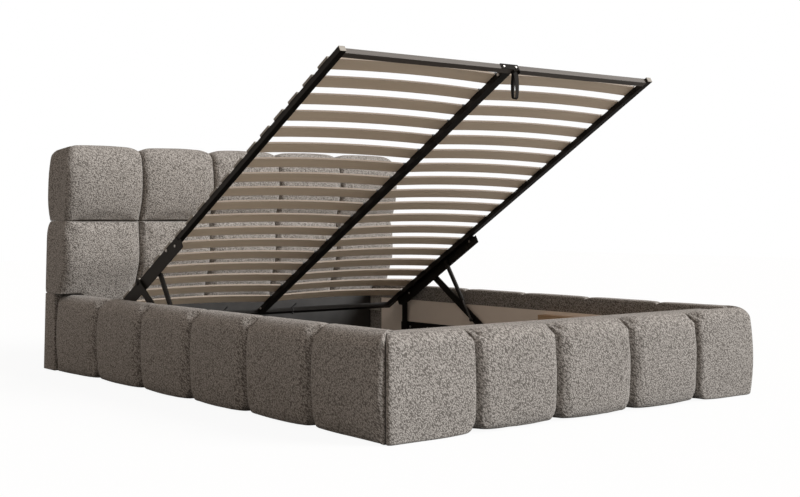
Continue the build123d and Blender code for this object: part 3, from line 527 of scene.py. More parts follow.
def dip(distance: float, reach: float) -> float:
    """How deep a rounded end lies at a distance from it: 1 at the end, 0 past its reach."""
    if distance >= reach:
        return 0.0
    return 1 - math.sqrt(max(0.0, 1 - (1 - max(distance, 0.0) / reach) ** 2))


def rounding(distance: float, radius: float) -> float:
    """How far a rounded edge stands back at a distance from its end."""
    if distance >= radius or radius <= 0:
        return 0.0
    return radius * (1 - math.sqrt(max(0.0, 1 - (1 - distance / radius) ** 2)))


class Trace(list):
    """Outline under construction, as points; each stroke goes on from the last point."""

    def line(self, end: Point, count: int) -> None:
        """Even points on a line."""
        start = self[-1]
        self += [(start[0] + (end[0] - start[0]) * step / count,
                  start[1] + (end[1] - start[1]) * step / count)
                 for step in range(1, count + 1)]

    def arc(self, middle: Point, end: Point, count: int) -> None:
        """Points on the circle through the last point and two more.

        Args:
            middle: A point it passes.
            end: Where it ends.
            count: How many points to give.
        """
        (ax, ay), (bx, by), (cx, cy) = self[-1], middle, end
        a, b, c = ax * ax + ay * ay, bx * bx + by * by, cx * cx + cy * cy
        d = 2 * (ax * (by - cy) + bx * (cy - ay) + cx * (ay - by))
        ux = (a * (by - cy) + b * (cy - ay) + c * (ay - by)) / d
        uy = (a * (cx - bx) + b * (ax - cx) + c * (bx - ax)) / d
        radius = math.hypot(ax - ux, ay - uy)
        first, via, last = (math.atan2(y - uy, x - ux) for x, y in (self[-1], middle, end))
        turn = (last - first) % math.tau
        if (via - first) % math.tau > turn:
            turn -= math.tau
        self += [(ux + radius * math.cos(first + turn * step / count),
                  uy + radius * math.sin(first + turn * step / count))
                 for step in range(1, count + 1)]

    def corner(self, end: Point, count: int, outward: Point) -> None:
        """Quarter round from the last point.

        Args:
            end: Where it ends.
            count: How many points to give.
            outward: The corner that it rounds off.
        """
        share = 1 - math.sqrt(0.5)
        start = self[-1]
        across = (start[0] + end[0] - outward[0], start[1] + end[1] - outward[1])
        middle = (outward[0] + (across[0] - outward[0]) * share,
                  outward[1] + (across[1] - outward[1]) * share)
        self.arc(middle, end, count)


def only(piece: Piece) -> None:
    """Selects one piece and nothing else."""
    bpy.ops.object.select_all(action="DESELECT")
    piece.select_set(True)
    bpy.context.view_layer.objects.active = piece


def outward_faces(piece: Piece) -> None:
    """Turns a closed piece's faces outwards."""
    only(piece)
    bpy.ops.object.mode_set(mode="EDIT")
    bpy.ops.mesh.select_all(action="SELECT")
    bpy.ops.mesh.normals_make_consistent(inside=False)
    bpy.ops.object.mode_set(mode="OBJECT")


def shell(name: str, rings: list[list[Vector]], ring_closed: bool = False) -> Piece:
    """A closed skin over rings of points.

    Args:
        name: The piece's name.
        rings: Rings with the same number of points, in order.
        ring_closed: Whether the last ring joins the first, in place of two end caps.

    Returns:
        The new object.
    """
    count = len(rings[0])
    faces = []
    for row in range(len(rings) if ring_closed else len(rings) - 1):
        near, far = row * count, (row + 1) % len(rings) * count
        for step in range(count):
            after = (step + 1) % count
            faces.append((near + step, near + after, far + after, far + step))
    if not ring_closed:
        faces.append(tuple(reversed(range(count))))
        faces.append(tuple((len(rings) - 1) * count + step for step in range(count)))
    mesh = bpy.data.meshes.new(name)
    mesh.from_pydata([point for ring in rings for point in ring], [], faces)
    piece = bpy.data.objects.new(name, mesh)
    bpy.context.collection.objects.link(piece)
    outward_faces(piece)
    return piece


def slab(name: str, low: tuple, high: tuple, bevel: float) -> Piece:
    """A flat piece with rounded edges, whose place is in its mesh.

    Args:
        name: Its name.
        low: Lowest corner.
        high: Highest corner.
        bevel: Radius of its edges.

    Returns:
        The piece.
    """
    bpy.ops.object.select_all(action="DESELECT")
    middle = [(a + b) / 2 for a, b in zip(low, high)]
    bpy.ops.mesh.primitive_cube_add(size=1, location=middle)
    piece = bpy.context.object
    piece.name = name
    piece.scale = [b - a for a, b in zip(low, high)]
    bpy.ops.object.transform_apply(location=True, rotation=True, scale=True)
    bpy.ops.object.mode_set(mode="EDIT")
    bpy.ops.mesh.select_all(action="SELECT")
    bpy.ops.mesh.bevel(offset=bevel, segments=3, affect="EDGES")
    bpy.ops.object.mode_set(mode="OBJECT")
    bpy.ops.object.shade_smooth_by_angle(angle=math.radians(40))
    return piece


def modified(piece: Piece, kind: str, **settings: object) -> None:
    """Adds a modifier and applies it.

    Args:
        piece: The piece.
        kind: The modifier's type.
        settings: Its properties by name.
    """
    only(piece)
    bpy.ops.object.modifier_add(type=kind)
    for key, value in settings.items():
        setattr(piece.modifiers[-1], key, value)
    bpy.ops.object.modifier_apply(modifier=piece.modifiers[-1].name)


def places(piece: Piece) -> np.ndarray:
    """The piece's vertices as rows of x, y, z."""
    found = np.zeros(len(piece.data.vertices) * 3)
    piece.data.vertices.foreach_get("co", found)
    return found.reshape(-1, 3)


def put(piece: Piece, moved: np.ndarray) -> None:
    """Writes vertices back to a piece."""
    piece.data.vertices.foreach_set("co", moved.astype(np.float32).ravel())
    piece.data.update()


@dataclass
class Stuffing:
    """How padded pieces are blown up and finished."""

    pressure: float = 4.0
    frames: int = 16
    cap: float = 0.006
    smoothing: int = 3
    wander: float = 0.0016
    wander_scale: float = 4.5
    quality: int = 5
    mass: float = 0.3
    tension: float = 18
    bending: float = 0.8
    seed_step: tuple = (7.3, 3.1, 5.7)

    def inflate(self, piece: Piece, pinned: np.ndarray) -> None:
        """Blows up a pad by cloth simulation, then holds each point near where it was.

        Args:
            piece: The pad.
            pinned: True for each vertex that stays in place.
        """
        before = places(piece)
        group = piece.vertex_groups.new(name="pinned")
        group.add([int(index) for index in np.flatnonzero(pinned)], 1.0, "REPLACE")
        only(piece)
        bpy.ops.object.modifier_add(type="CLOTH")
        cloth = piece.modifiers[-1]
        for key, value in {
                "quality": self.quality, "mass": self.mass,
                "tension_stiffness": self.tension, "compression_stiffness": self.tension,
                "bending_stiffness": self.bending, "use_pressure": True,
                "uniform_pressure_force": self.pressure,
                "vertex_group_mass": "pinned"}.items():
            setattr(cloth.settings, key, value)
        cloth.settings.effector_weights.gravity = 0
        cloth.point_cache.frame_start = 1
        cloth.point_cache.frame_end = self.frames
        scene = bpy.context.scene
        for frame in range(1, self.frames + 1):
            scene.frame_set(frame)
        only(piece)
        bpy.ops.object.modifier_apply(modifier=cloth.name)
        scene.frame_set(1)
        move = places(piece) - before
        move[~np.isfinite(move)] = 0
        links = np.array([edge.vertices[:] for edge in piece.data.edges])
        count = np.bincount(links.ravel(), minlength=len(move))[:, None]
        for _ in range(self.smoothing):
            total = np.zeros_like(move)
            np.add.at(total, links[:, 0], move[links[:, 1]])
            np.add.at(total, links[:, 1], move[links[:, 0]])
            move = 0.5 * move + 0.5 * total / count
            move[pinned] = 0
        length = np.linalg.norm(move, axis=1, keepdims=True)
        move *= np.minimum(1.0, self.cap / np.maximum(length, 1e-9))
        move[pinned] = 0
        put(piece, before + move)

    def settle(self, piece: Piece, seed: float, free: np.ndarray) -> None:
        """Lets the foam wander a little, so that no two pads are alike.

        Args:
            piece: The pad.
            seed: Which pattern of unevenness it gets.
            free: How free each vertex is, from 0 to 1.
        """
        at = places(piece)
        normals = np.zeros(len(piece.data.vertices) * 3)
        piece.data.vertices.foreach_get("normal", normals)
        offset = Vector([seed * step for step in self.seed_step])
        push = np.array([noise.noise(Vector(point) * self.wander_scale + offset) for point in at])
        put(piece, at + normals.reshape(-1, 3) * (push * self.wander * free)[:, None])

    def smooth(self, piece: Piece) -> None:
        """Adds one subdivision and smooth shading."""
        modified(piece, "SUBSURF", levels=1, render_levels=1)
        bpy.ops.object.shade_smooth()


@dataclass
class Wardrobe:
    """The built finishes, and how pieces get them."""

    built: dict[str, bpy.types.Material] = field(default_factory=dict)

    def dress(self, piece: Piece, slot: str) -> None:
        """Gives a piece one material all over, built when first asked for."""
        if slot not in self.built:
            self.built[slot] = FINISHES[slot].build()
        piece.data.materials.clear()
        piece.data.materials.append(self.built[slot])

    def new_piece(self, piece: Piece, slot: str, body: str, *nodes: str) -> None:
        """Dresses a new piece and ties it to the frame.

        Args:
            piece: The piece.
            slot: Its material slot.
            body: The body that it rides on.
            nodes: The frame's nodes that it stands for.
        """
        self.dress(piece, slot)
        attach(piece, body)
        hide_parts(*nodes)
        LOG.info("made %s", piece.name)


@dataclass
class PadSection:
    """Section of a rail pad, out from its board and up from the floor, in metres."""

    depth: float
    channel: float = 38 * MM
    bottom: float = 1 * MM
    crown_top: float = 343 * MM
    edge_top: float = 338 * MM
    channel_drop: float = 16 * MM
    edge_drop: float = 12 * MM
    most_drop: float = 14 * MM
    top_arch: float = 3 * MM
    bottom_arch: float = 7 * MM
    flat: float = 1.5 * MM
    least_cover: float = 1.5 * MM
    least_run: float = 8 * MM
    least_step: float = 0.2 * MM
    channel_rise: float = 9 * MM
    bulge: float = 7 * MM
    top_radius: float = 46 * MM
    bottom_radius: float = 10 * MM
    edge_radius: float = 12 * MM
    inset: float = 3 * MM

    def ring(self, swell: float, crest: float, inner: float, board_top: float,
             trim: float, arch: float) -> list[Point]:
        """Closed outline at one station of the pad.

        Args:
            swell: 0 in a channel, 1 at the crown, for how far the front stands out.
            crest: The same for how high the top stands.
            inner: How far the cover reaches back over the board's top.
            board_top: Height of the board's top, with its clearance.
            trim: How far the front stands back where the pad rounds an upright edge.
            arch: 0 at the pad's middle, 1 at an end where its top and bottom draw in.

        Returns:
            The outline's points.
        """
        depth = self.depth - self.inset - self.channel * (1 - swell) - trim
        top = self.crown_top - self.inset - self.channel_drop * (1 - crest) - self.top_arch * arch
        edge = max(self.edge_top - self.edge_drop * (1 - crest), board_top + self.least_cover)
        top = max(top, edge - self.most_drop)
        low = self.bottom + self.channel_rise * (1 - crest) + self.bottom_arch * arch
        fit = 0.45 + 0.55 * swell
        up, down = self.top_radius * fit, self.bottom_radius * fit
        face = depth - self.bulge
        lip = min(self.edge_radius, (edge - board_top) * 0.8)
        step = min(board_top, edge - lip - self.least_step)
        trace = Trace([(0.0, low)])
        trace.line((0.0, step), 9)
        trace.line((-inner, step), 5)
        trace.line((-inner, edge - lip), 1)
        trace.corner((lip - inner, edge), 4, (-inner, edge))
        trace.line((max(self.flat, 1.5 * self.edge_radius - inner), edge), 3)
        start = trace[-1][0]
        run = max(face - up, start + self.least_run) - start
        trace += [(start + run * k / 6,
                   edge + (top - edge) * (1 - math.cos(math.pi * k / 6)) / 2) for k in range(1, 7)]
        trace.corner((face, top - up), 9, (face, top))
        trace.arc((depth, (top + low) / 2), (face, low + down), 15)
        trace.corner((face - down, low), 7, (face, low))
        trace.line((0.0, low), 5)
        return trace[:-1]


@dataclass
class Board:
    """The face of a board that pads lie on, across an axis of the bed."""

    axis: int
    face: float
    outward: int

    def point(self, along: float, out: float, up: float) -> Vector:
        """A point by its place along the board, out from its face and up."""
        found = Vector((0.0, 0.0, up))
        found[self.axis] = along
        found[1 - self.axis] = self.face + self.outward * out
        return found

    def outs(self, piece: Piece) -> np.ndarray:
        """How far out each vertex of a pad lies."""
        return self.outward * (places(piece)[:, 1 - self.axis] - self.face)


@dataclass
class Row:
    """What all rows of pads share: how their sections lie and how they are blown up."""

    stuffing: Stuffing
    wardrobe: Wardrobe
    steps: int = 40
    seam: float = 0.7 * MM
    clear: float = 0.4 * MM
    reach_near: float = 17 * MM
    reach_far: float = 15 * MM
    crest_reach: float = 32 * MM
    sag: float = 0.10
    end_channel: float = 0.06
    held: float = 6 * MM
    held_at_seam: float = 0.8 * MM
    soft_depth: float = 30 * MM

    def stations(self, bounds: Pair, channels: Pair) -> Iterator[tuple]:
        """Places along a pad, closer together at its ends.

        Args:
            bounds: Where the pad starts and ends along its row.
            channels: Share of a full channel at its two ends.

        Yields:
            The share of the pad's length, the place, its distance to both ends, and from 0 in
            a channel to 1 at the crown, how far the front and how high the top stands.
        """
        low, high = bounds
        for step in range(self.steps + 1):
            share = 0.5 - 0.5 * math.cos(math.pi * step / self.steps)
            along = low + self.seam / 2 + (high - low - self.seam) * share
            ends = (along - low, high - along)
            swell, crest = (1 - max(part * dip(far, reach) for part, far, reach
                                    in zip(channels, ends, reaches))
                            for reaches in ((self.reach_near, self.reach_far),
                                            (self.crest_reach,) * 2))
            yield share, along, ends, swell, crest

    def blow_up(self, piece: Piece, board: Board, bounds: Pair, levels: Pair,
                mitres: Pair = (0.0, 0.0)) -> np.ndarray:
        """Simulates a pad and keeps it between its two channels.

        Args:
            piece: The pad.
            board: What it lies on.
            bounds: Where it starts and ends along the board.
            levels: The lowest and the highest that it may reach.
            mitres: How far each end runs on for each metre out, where it is mitred.

        Returns:
            How free each vertex is to wander.
        """
        axis, outs = board.axis, board.outs(piece)
        along = places(piece)[:, axis]
        lead = np.clip(outs, 0, None)
        low = bounds[0] + self.seam / 2 - mitres[0] * lead
        high = bounds[1] - self.seam / 2 + mitres[1] * lead
        pinned = (outs < self.held) | (np.minimum(along - low, high - along) < self.held_at_seam)
        self.stuffing.inflate(piece, pinned)
        at = places(piece)
        at[:, axis] = np.clip(at[:, axis], low, high)
        at[:, 2] = np.clip(at[:, 2], *levels)
        put(piece, at)
        return np.clip(board.outs(piece) / self.soft_depth, 0, 1)


@dataclass
class Rail(Board):
    """One rail's board, and how its pads follow each other along it."""

    section: PadSection
    bounds: list[float]
    slopes: Pair
    radii: Pair
    end_channel: float
    inner: Callable[[float], float]

    def point(self, along: float, out: float, up: float) -> Vector:
        """A point of a pad; a mitred end runs on as it goes out."""
        left = max(0.0, (self.bounds[1] - along) / (self.bounds[1] - self.bounds[0]))
        right = max(0.0, (along - self.bounds[-2]) / (self.bounds[-1] - self.bounds[-2]))
        run = right * self.slopes[1] - left * self.slopes[0]
        return super().point(along + run * max(out, 0.0), out, up)


@dataclass
class Rails(Row):
    """The pads of the two side rails and the foot."""

    side_count: int = 6
    foot_count: int = 5
    corner_seam: float = 1.2 * MM
    upper_round: float = 56 * MM
    lower_round: float = 46 * MM
    side_pitch: float = 387.8 * MM
    foot_pitch: float = 364 * MM
    foot_shift: float = 20 * MM
    side_radii: Pair = (24 * MM, 10 * MM)
    foot_radii: Pair = (26 * MM, 26 * MM)
    lining_edge: float = 1 * MM
    side_section: PadSection = field(default_factory=lambda: PadSection(82 * MM))
    foot_section: PadSection = field(default_factory=lambda: PadSection(
        88 * MM, crown_top=337 * MM, edge_top=324 * MM, edge_drop=0.0))

    def __post_init__(self) -> None:
        """Reads the places of the boards and covers from the frame."""
        low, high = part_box("side_board_right")
        self.inner_x, self.face_x, self.board_top = low.x, high.x, high.z
        self.foot_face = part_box("foot_board")[0].y
        self.foot_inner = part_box("foot_inner_board")[1].y
        low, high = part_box("side_upholstery_right")
        self.lining_x, self.head_y = low.x, high.y

    def round_corners(self, piece: Piece, rail: Rail, bounds: Pair, channels: Pair) -> None:
        """Draws in the four corners of a pad's front, where its channels end.

        Args:
            piece: The pad.
            rail: Its rail.
            bounds: Where it starts and ends along the rail.
            channels: Share of a full channel at its two ends.
        """
        at, axis = places(piece), rail.axis
        weight = np.clip((rail.outs(piece) - self.soft_depth / 2) / self.soft_depth, 0, 1)
        levels = ((1, at[:, 2].max(), self.upper_round), (-1, at[:, 2].min(), self.lower_round))
        for toward, bound, part in zip((-1, 1), bounds, channels):
            for up, level, radius in levels:
                across = np.clip(1 - toward * (bound - at[:, axis]) / radius, 0, 1)
                along = np.clip(1 - up * (level - at[:, 2]) / radius, 0, 1)
                size = np.maximum(np.hypot(across, along), 1e-9)
                lost = (1 - np.maximum(across, along) / size) * weight * part * radius
                at[:, axis] -= toward * across * lost
                at[:, 2] -= up * along * lost
        put(piece, at)

    def pads(self, name: str, rail: Rail) -> Iterator[tuple[Piece, np.ndarray]]:
        """Models a rail's pads one by one, each as a skin over its sections.

        Args:
            name: Their name, before their number.
            rail: The rail.

        Yields:
            The pad, and how free each of its vertices is to wander.
        """
        spans = list(zip(rail.bounds, rail.bounds[1:]))
        for index, bounds in enumerate(spans):
            first, last = index == 0, index == len(spans) - 1
            channels = (1.0 - first, rail.end_channel if last else 1.0)
            rings = []
            for share, along, ends, swell, crest in self.stations(bounds, channels):
                arch = channels[share >= 0.5] * (2 * share - 1) ** 2
                trim = (rounding(ends[0], rail.radii[0] * first)
                        + rounding(ends[1], rail.radii[1] * last))
                outline = rail.section.ring(swell * (1 - self.sag * arch), crest,
                                            rail.inner(along), self.board_top + self.clear,
                                            trim, arch)
                rings.append([rail.point(along, out, up) for out, up in outline])
            pad = shell(f"{name}_{index + 1}", rings)
            self.round_corners(pad, rail, bounds, (1.0 - first, 1.0 - last))
            yield pad, self.blow_up(pad, rail, bounds, (self.clear, math.inf),
                                    (rail.slopes[0] * first, rail.slopes[1] * last))

    def build_side(self) -> None:
        """Six pads a side, alike but for their foam; the first runs on to the corner seam."""
        reach = self.face_x - self.lining_x
        high = self.head_y - (self.side_count - 1) * self.side_pitch
        bounds = [high + index * self.side_pitch for index in range(self.side_count)]
        rail = Rail(1, self.face_x, 1, self.side_section,
                    [self.foot_face + self.corner_seam / 2, *bounds],
                    (self.foot_section.depth / self.side_section.depth, 0.0),
                    self.side_radii, self.end_channel, lambda along: reach)
        for index, (pad, free) in enumerate(self.pads("rail_pad_right", rail)):
            other = pad.copy()
            other.data = pad.data.copy()
            other.name = f"rail_pad_left_{index + 1}"
            bpy.context.collection.objects.link(other)
            for piece, side, seed in ((pad, Side.RIGHT, index), (other, Side.LEFT, index + 20)):
                self.stuffing.settle(piece, seed, free)
                if side is Side.LEFT:
                    piece.data.transform(Matrix.Scale(-1, 4, (1, 0, 0)))
                    outward_faces(piece)
                self.stuffing.smooth(piece)
                word = side.name.lower()
                self.wardrobe.new_piece(piece, "boucle", "base", f"side_upholstery_{word}")

    def build_foot(self) -> None:
        """Five pads at the foot; the outer two are mitred to the side rows."""
        reach = self.foot_inner - self.foot_face
        edge = self.face_x - self.corner_seam / 2
        slope = self.side_section.depth / self.foot_section.depth
        inside = [self.foot_shift + (index - (self.foot_count - 2) / 2) * self.foot_pitch
                  for index in range(self.foot_count - 1)]
        rail = Rail(0, self.foot_face, -1, self.foot_section, [-edge, *inside, edge],
                    (slope, slope), self.foot_radii, 0.0,
                    lambda along: reach if abs(along) < self.lining_x - self.clear else 0.0)
        for index, (pad, free) in enumerate(self.pads("foot_pad", rail)):
            self.stuffing.settle(pad, index + 40, free)
            self.stuffing.smooth(pad)
            self.wardrobe.new_piece(pad, "boucle", "base", "foot_upholstery")

    def build_linings(self) -> None:
        """The cover's inner turn-down along the sides and the foot."""
        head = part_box("head_cross_board")[0].y
        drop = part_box("side_lining_right")[1].z
        start = self.foot_inner + self.inner_x - self.lining_x
        width = self.lining_x - self.clear
        spans = [("foot", "foot_upholstery", (-width, width),
                  (self.foot_inner + self.clear, start))]
        for side in Side:
            word = side.name.lower()
            across = sorted(side.value * x for x in (self.lining_x, self.inner_x - self.clear))
            spans.append((word, f"side_upholstery_{word}", across,
                          (start + self.clear, head - self.clear)))
        for word, node, across, along in spans:
            piece = slab(f"cover_edge_{word}", (across[0], along[0], drop + self.clear),
                         (across[1], along[1], self.board_top + self.lining_edge), self.lining_edge)
            self.wardrobe.new_piece(piece, "boucle", "base", node)

    def build(self) -> None:
        """All of the rails' upholstery."""
        self.build_side()
        self.build_foot()
        self.build_linings()


@dataclass
class Headboard(Row):
    """The ten pads of the headboard and the two side pads down to the floor."""

    steps: int = 34
    clear: float = 0.2 * MM
    reach_near: float = 20 * MM
    reach_far: float = 16 * MM
    crest_reach: float = 60 * MM
    end_channel: float = 0.1
    held: float = 8 * MM
    soft_depth: float = 50 * MM
    columns: int = 5
    channel: float = 40 * MM
    crown: float = 182 * MM
    seam_out: float = 142 * MM
    seam_z: float = 663 * MM
    seam_radius: float = 7 * MM
    top: float = 997 * MM
    top_drop: float = 26 * MM
    bulge: float = 8 * MM
    top_radius: float = 60 * MM
    back_radius: float = 32 * MM
    back_fall: float = 13 * MM
    overhang: float = 30 * MM
    lower_out: float = 4 * MM
    lower_crown: float = 151 * MM
    lower_crown_z: float = 520 * MM
    lower_foot: float = 96 * MM
    lower_bottom: float = 300 * MM
    overlap_bottom: float = 343.5 * MM
    lip: float = 3 * MM
    side_return: float = 40 * MM
    inset: float = 3 * MM
    edge_radius: float = 30 * MM
    shoulder: float = 95 * MM
    pinch: float = 14 * MM
    pinch_reach: float = 60 * MM
    narrowed: float = 30 * MM
    cover_thick: float = 4 * MM
    over_board: float = 2 * MM
    least_fold: float = 3 * MM
    least_out: float = 5 * MM
    lower_bow: float = 2 * MM
    side_edge: float = 3 * MM

    def __post_init__(self) -> None:
        """Reads the board's place from the frame."""
        low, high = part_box("headboard_board")
        self.board = Board(0, low.y, -1)
        self.edge, self.board_top = high.x, high.z
        self.outer = self.edge + self.side_return
        self.inner_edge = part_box("side_upholstery_right")[0].x
        low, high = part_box("headboard_back_cover")
        self.back_low = high.y - self.board.face
        self.back_lean = (high.y - low.y - self.cover_thick) / (high.z - low.z)
        self.cover_low = low.z

    def back_at(self, height: float) -> float:
        """How far the leaning back stands behind the board's face at a height."""
        return self.back_low - self.back_lean * (height - self.cover_low)

    def upper_ring(self, swell: float, crest: float, trim: float, wrapped: bool) -> list[Point]:
        """Outline of an upper pad: front, rounded top and the fold behind the board.

        Args:
            swell: 0 in a channel, 1 at the crown, for how far the front stands out.
            crest: The same for how high the top stands.
            trim: How far the front stands back at an upright edge.
            wrapped: Whether the pad goes on past the board's side.

        Returns:
            The outline's points.
        """
        fall = self.channel * (1 - swell) + self.inset + trim
        front, seam = self.crown - fall, self.seam_out - fall
        face = front - self.bulge
        top = self.top - self.top_drop * (1 - crest) - self.inset
        low = self.seam_z + self.clear
        up = self.top_radius * (0.6 + 0.4 * swell)
        back_top = top - self.back_fall
        step = self.board_top + self.over_board
        back_up = min(self.back_radius, back_top - step - self.least_fold)
        if wrapped:
            back = self.back_at(self.seam_z)
            trace = Trace([(-back, low)])
            trace.line((-back / 2, low), 4)
        else:
            trace = Trace([(-self.overhang, step)])
            trace.line((0.0, step), 4)
        trace.line((0.0, low), 9)
        trace.line((seam - self.seam_radius, low), 6)
        trace.corner((seam, low + self.seam_radius), 3, (seam, low))
        trace.arc((front, (low + top) / 2), (face, top - up), 15)
        trace.corner((face - up, top), 9, (face, top))
        trace.line((back_up - self.overhang, back_top), 6)
        trace.corner((-self.overhang, back_top - back_up), 6, (-self.overhang, back_top))
        trace.line(trace[0], 4)
        return trace[:-1]

    def lower_ring(self, swell: float, trim: float, bottom: float, wrapped: bool) -> list[Point]:
        """Outline of a lower pad, whose front sweeps back towards the well.

        Args:
            swell: 0 in a channel, 1 at the crown.
            trim: How far the front stands back at an upright edge.
            bottom: Height of its lower edge.
            wrapped: Whether the pad goes on past the board's side.

        Returns:
            The outline's points.
        """
        fall = self.channel * (1 - swell) + self.inset + trim
        seam = self.seam_out + self.lower_out - fall
        high = self.seam_z - self.clear
        start = bottom + self.lip

        def front(height: float) -> float:
            """The swept front at a height."""
            share = (self.lower_crown_z - height) / (self.lower_crown_z - self.lower_bottom)
            sweep = (1 - math.cos(math.pi * share)) / 2
            return self.lower_crown - fall - (self.lower_crown - self.lower_foot) * sweep

        high_back, low_back = (self.back_at(height) if wrapped else 0.0
                               for height in (self.seam_z, bottom))
        heights = [start + (self.lower_crown_z - start) * k / 10 for k in range(1, 11)]
        trace = Trace([(-high_back, high)])
        trace.line((-low_back, bottom), 10)
        trace.line((max(front(start) - self.lip, self.least_out), bottom), 4)
        trace.corner((front(start), start), 3, (front(start), bottom))
        trace += [(front(height), height) for height in heights]
        bow = (trace[-1][0] + seam) / 2 + self.lower_bow
        trace.arc((bow, (self.lower_crown_z + high) / 2), (seam, high - self.seam_radius), 8)
        trace.corner((seam - self.seam_radius, high), 3, (seam, high))
        trace.line(trace[0], 6)
        return trace[:-1]

    def round_off(self, piece: Piece, upper: bool) -> None:
        """Rounds the outer end of a row: its top shoulder and the pinch at the seam.

        Args:
            piece: A pad of the row.
            upper: Whether it belongs to the upper row.
        """
        at = places(piece)
        base = self.edge - self.narrowed
        reach = self.outer - base
        lost = np.zeros(len(at))
        if upper:
            near = np.clip((at[:, 2] - (self.top - self.shoulder)) / self.shoulder, 0, 1)
            lost += self.shoulder * 0.8 * (1 - np.sqrt(1 - near ** 2))
        gap = np.clip(1 - np.abs(at[:, 2] - self.seam_z) / self.pinch_reach, 0, 1)
        lost += self.pinch * gap ** 2.2
        scale = (reach - np.minimum(lost, reach * 0.8)) / reach
        width = np.abs(at[:, 0]) - base
        moved = np.sign(at[:, 0]) * (base + width * scale)
        at[:, 0] = np.where(width > 0, moved, at[:, 0])
        put(piece, at)

    def build_row(self, upper: bool) -> None:
        """One row of five pads.

        Args:
            upper: Whether it is the upper row.
        """
        pitch = 2 * self.outer / self.columns
        word, first_seed = ("upper", 60) if upper else ("lower", 80)
        levels = ((self.seam_z + self.clear, math.inf) if upper
                  else (-math.inf, self.seam_z - self.clear))
        for index in range(self.columns):
            low = -self.outer + index * pitch
            ends = (index == 0, index == self.columns - 1)
            channels = tuple(self.end_channel if end else 1.0 for end in ends)
            rings = []
            for share, along, _, swell, crest in self.stations((low, low + pitch), channels):
                sag = 1 - self.sag * (2 * share - 1) ** 2
                trim = rounding(self.outer - abs(along), self.edge_radius)
                wrapped = abs(along) > self.edge
                if upper:
                    outline = self.upper_ring(sag * swell, sag * crest, trim, wrapped)
                else:
                    over = abs(along) > self.inner_edge
                    outline = self.lower_ring(
                        sag * swell, trim, self.overlap_bottom if over else self.lower_bottom,
                        wrapped)
                rings.append([self.board.point(along, out, up) for out, up in outline])
            pad = shell(f"head_pad_{word}_{index + 1}", rings)
            free = self.blow_up(pad, self.board, (low, low + pitch), levels)
            self.stuffing.settle(pad, index + first_seed, free)
            if any(ends):
                self.round_off(pad, upper)
            self.stuffing.smooth(pad)
            self.wardrobe.new_piece(pad, "boucle", "base", f"headboard_{word}_pads")

    def build_sides(self) -> None:
        """The two narrow pads from the lower row down to the floor."""
        for side in Side:
            node = f"headboard_side_pad_{side.name.lower()}"
            low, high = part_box(node)
            high.z = self.overlap_bottom - self.clear
            piece = slab(f"head_side_pad_{side.name.lower()}", tuple(low), tuple(high),
                         self.side_edge)
            at = places(piece)
            lean = self.back_lean * (at[:, 2] - low.z) / (high.y - low.y)
            at[:, 1] = low.y + (at[:, 1] - low.y) * (1 - lean)
            put(piece, at)
            self.wardrobe.new_piece(piece, "boucle", "base", node)

    def build(self) -> None:
        """All of the headboard's upholstery."""
        self.build_row(True)
        self.build_row(False)
        self.build_sides()


@dataclass
class PullStrap:
    """Loop of webbing that hangs from the bar of its anchor, with a slight twist."""

    wardrobe: Wardrobe
    width: float = 25 * MM
    thickness: float = 2 * MM
    narrowing: float = 0.18
    twist: float = 15.0
    bow: float = 1.5 * MM
    shortened: float = 22 * MM
    bar_radius: float = 3.8 * MM
    hand_radius: float = 8 * MM
    edge: float = 0.5 * MM

    def build(self) -> None:
        """A closed ribbon: round the bar, down, round the hand loop and up again."""
        low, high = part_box("lift_strap")
        middle = Vector(((low.x + high.x) / 2, (low.y + high.y) / 2, 0))
        bar, hand = self.bar_radius, self.hand_radius
        top_z = high.z - bar - self.thickness / 2
        low_z = low.z + self.shortened + hand + self.thickness / 2
        middle_z = (top_z + low_z) / 2
        path = Trace([(-bar, top_z)])
        path.arc((0.0, top_z + bar), (bar, top_z), 9)
        path.arc((hand + self.bow, middle_z), (hand, low_z), 18)
        path.arc((0.0, low_z - hand), (-hand, low_z), 10)
        path.arc((-hand - self.bow, middle_z), path[0], 18)
        path.pop()
        rings = []
        for before, (out, up), after in zip(path[-1:] + path, path, path[1:] + path[:1]):
            run = Vector((after[0] - before[0], after[1] - before[1])).normalized()
            side = Vector((-run.y, run.x)) * self.thickness / 2
            share = min(1.0, max(0.0, (top_z - up) / (top_z - low_z)))
            spin = Matrix.Rotation(math.radians(self.twist) * share ** 0.8, 4, "Z")
            half = self.width / 2 * (1 - self.narrowing * share)
            rings.append([spin @ Vector((across * half, out + side.x * thick,
                                         up + side.y * thick)) + middle
                          for across, thick in ((-1, 1), (1, 1), (1, -1), (-1, -1))])
        piece = shell("pull_strap_webbing", rings, ring_closed=True)
        modified(piece, "BEVEL", width=self.edge, segments=2, limit_method="ANGLE")
        bpy.ops.object.shade_smooth_by_angle(angle=math.radians(50))
        self.wardrobe.new_piece(piece, "webbing", "pull_strap", "lift_strap")


@dataclass
class Carried:
    """The frame's own nodes, dressed in their finishes."""

    wardrobe: Wardrobe
    brushed: tuple = ("foot_tube",)

    def build(self, frame: dict) -> None:
        """Gives each shown node the finish of its slot.

        Args:
            frame: What the frame's load gave.
        """
        slots = {row["node"]: row["material_slot"] for row in frame["record"]["subparts"]}
        for name, piece in frame["nodes"].items():
            self.wardrobe.dress(piece, "brushed_paint" if name in self.brushed else slots[name])
        LOG.info("dressed %d nodes", len(slots))


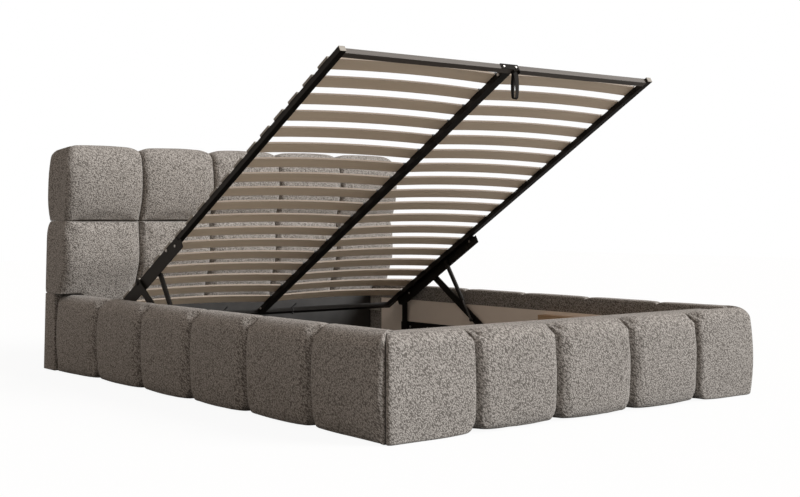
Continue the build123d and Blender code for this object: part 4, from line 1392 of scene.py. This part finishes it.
@dataclass
class Studio:
    """Camera, lamps and floor."""

    camera_place: tuple = (-3.2115, -4.17905, 0.68249)
    camera_yaw: float = 38.703
    focal: float = 57.204
    sensor: float = 36.0
    shift: float = -0.0400
    sun_from: tuple = (0.60, -0.76, 0.54)
    sun_strength: float = 4.2
    sun_angle: float = 28.0
    fill: float = 0.56
    fill_colour: tuple = (1.0, 0.86, 0.75)
    floor_bounce: float = 0.25
    floor_white: float = 0.93
    floor_size: float = 30.0

    def add(self, name: str, data: bpy.types.ID) -> Piece:
        """Adds a camera or a lamp to the scene."""
        made = bpy.data.objects.new(name, data)
        bpy.context.collection.objects.link(made)
        return made

    def build_camera(self) -> None:
        """The photograph's viewpoint."""
        data = bpy.data.cameras.new("camera")
        data.lens, data.sensor_width, data.shift_y = self.focal, self.sensor, self.shift
        camera = self.add("camera", data)
        camera.location = self.camera_place
        camera.rotation_euler = (math.pi / 2, 0, -math.radians(self.camera_yaw))
        bpy.context.scene.camera = camera

    def build_lamps(self) -> None:
        """One soft sun from the front right."""
        data = bpy.data.lights.new("key", "SUN")
        data.energy, data.angle = self.sun_strength, math.radians(self.sun_angle)
        lamp = self.add("key", data)
        lamp.rotation_euler = Vector(self.sun_from).to_track_quat("Z", "Y").to_euler()

    def build_world(self) -> None:
        """Even warm light that looks white to the camera."""
        world = bpy.context.scene.world = bpy.data.worlds.new("studio")
        kit = Kit(world)
        white = kit.tree.nodes["Background"]
        feed(white.inputs["Color"], (1.0, 1.0, 1.0))
        feed(white.inputs["Strength"], 1.0)
        fill = kit.node("ShaderNodeBackground", {}, {"Color": self.fill_colour,
                                                    "Strength": self.fill})
        kit.show("World Output", kit.seen(), fill.outputs[0], white.outputs[0])

    def build_floor(self) -> None:
        """A white floor that keeps a faint shadow and gives back less light than it shows."""
        bpy.ops.object.select_all(action="DESELECT")
        bpy.ops.mesh.primitive_plane_add(size=self.floor_size, location=(0, 0, 0))
        floor = bpy.context.object
        floor.name = "floor"
        kit = Palette("floor")
        direct = Signal(kit.node("ShaderNodeLightPath").outputs["Is Camera Ray"])
        kit.finish(kit.mixed(direct, (self.floor_bounce,) * 3, (0.8, 0.8, 0.8)), 0.9)
        glow = kit.node("ShaderNodeEmission", {}, {"Strength": 1.0})
        kit.show("Material Output", kit.seen() * self.floor_white, kit.shader.outputs[0],
                 glow.outputs[0])
        floor.data.materials.append(kit.material)

    def build(self) -> None:
        """The whole studio."""
        bpy.context.scene.view_settings.view_transform = "Standard"
        self.build_camera()
        self.build_lamps()
        self.build_world()
        self.build_floor()


def main() -> None:
    """Builds the looks round the frame."""
    logging.basicConfig(level=logging.INFO, format="%(name)s: %(message)s")
    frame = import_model()
    bpy.ops.object.select_all(action="DESELECT")
    wardrobe = Wardrobe()
    stuffing = Stuffing()
    Carried(wardrobe).build(frame)
    Rails(stuffing, wardrobe).build()
    Headboard(stuffing, wardrobe).build()
    PullStrap(wardrobe).build()
    Studio().build()


if __name__ == "__main__":
    main()
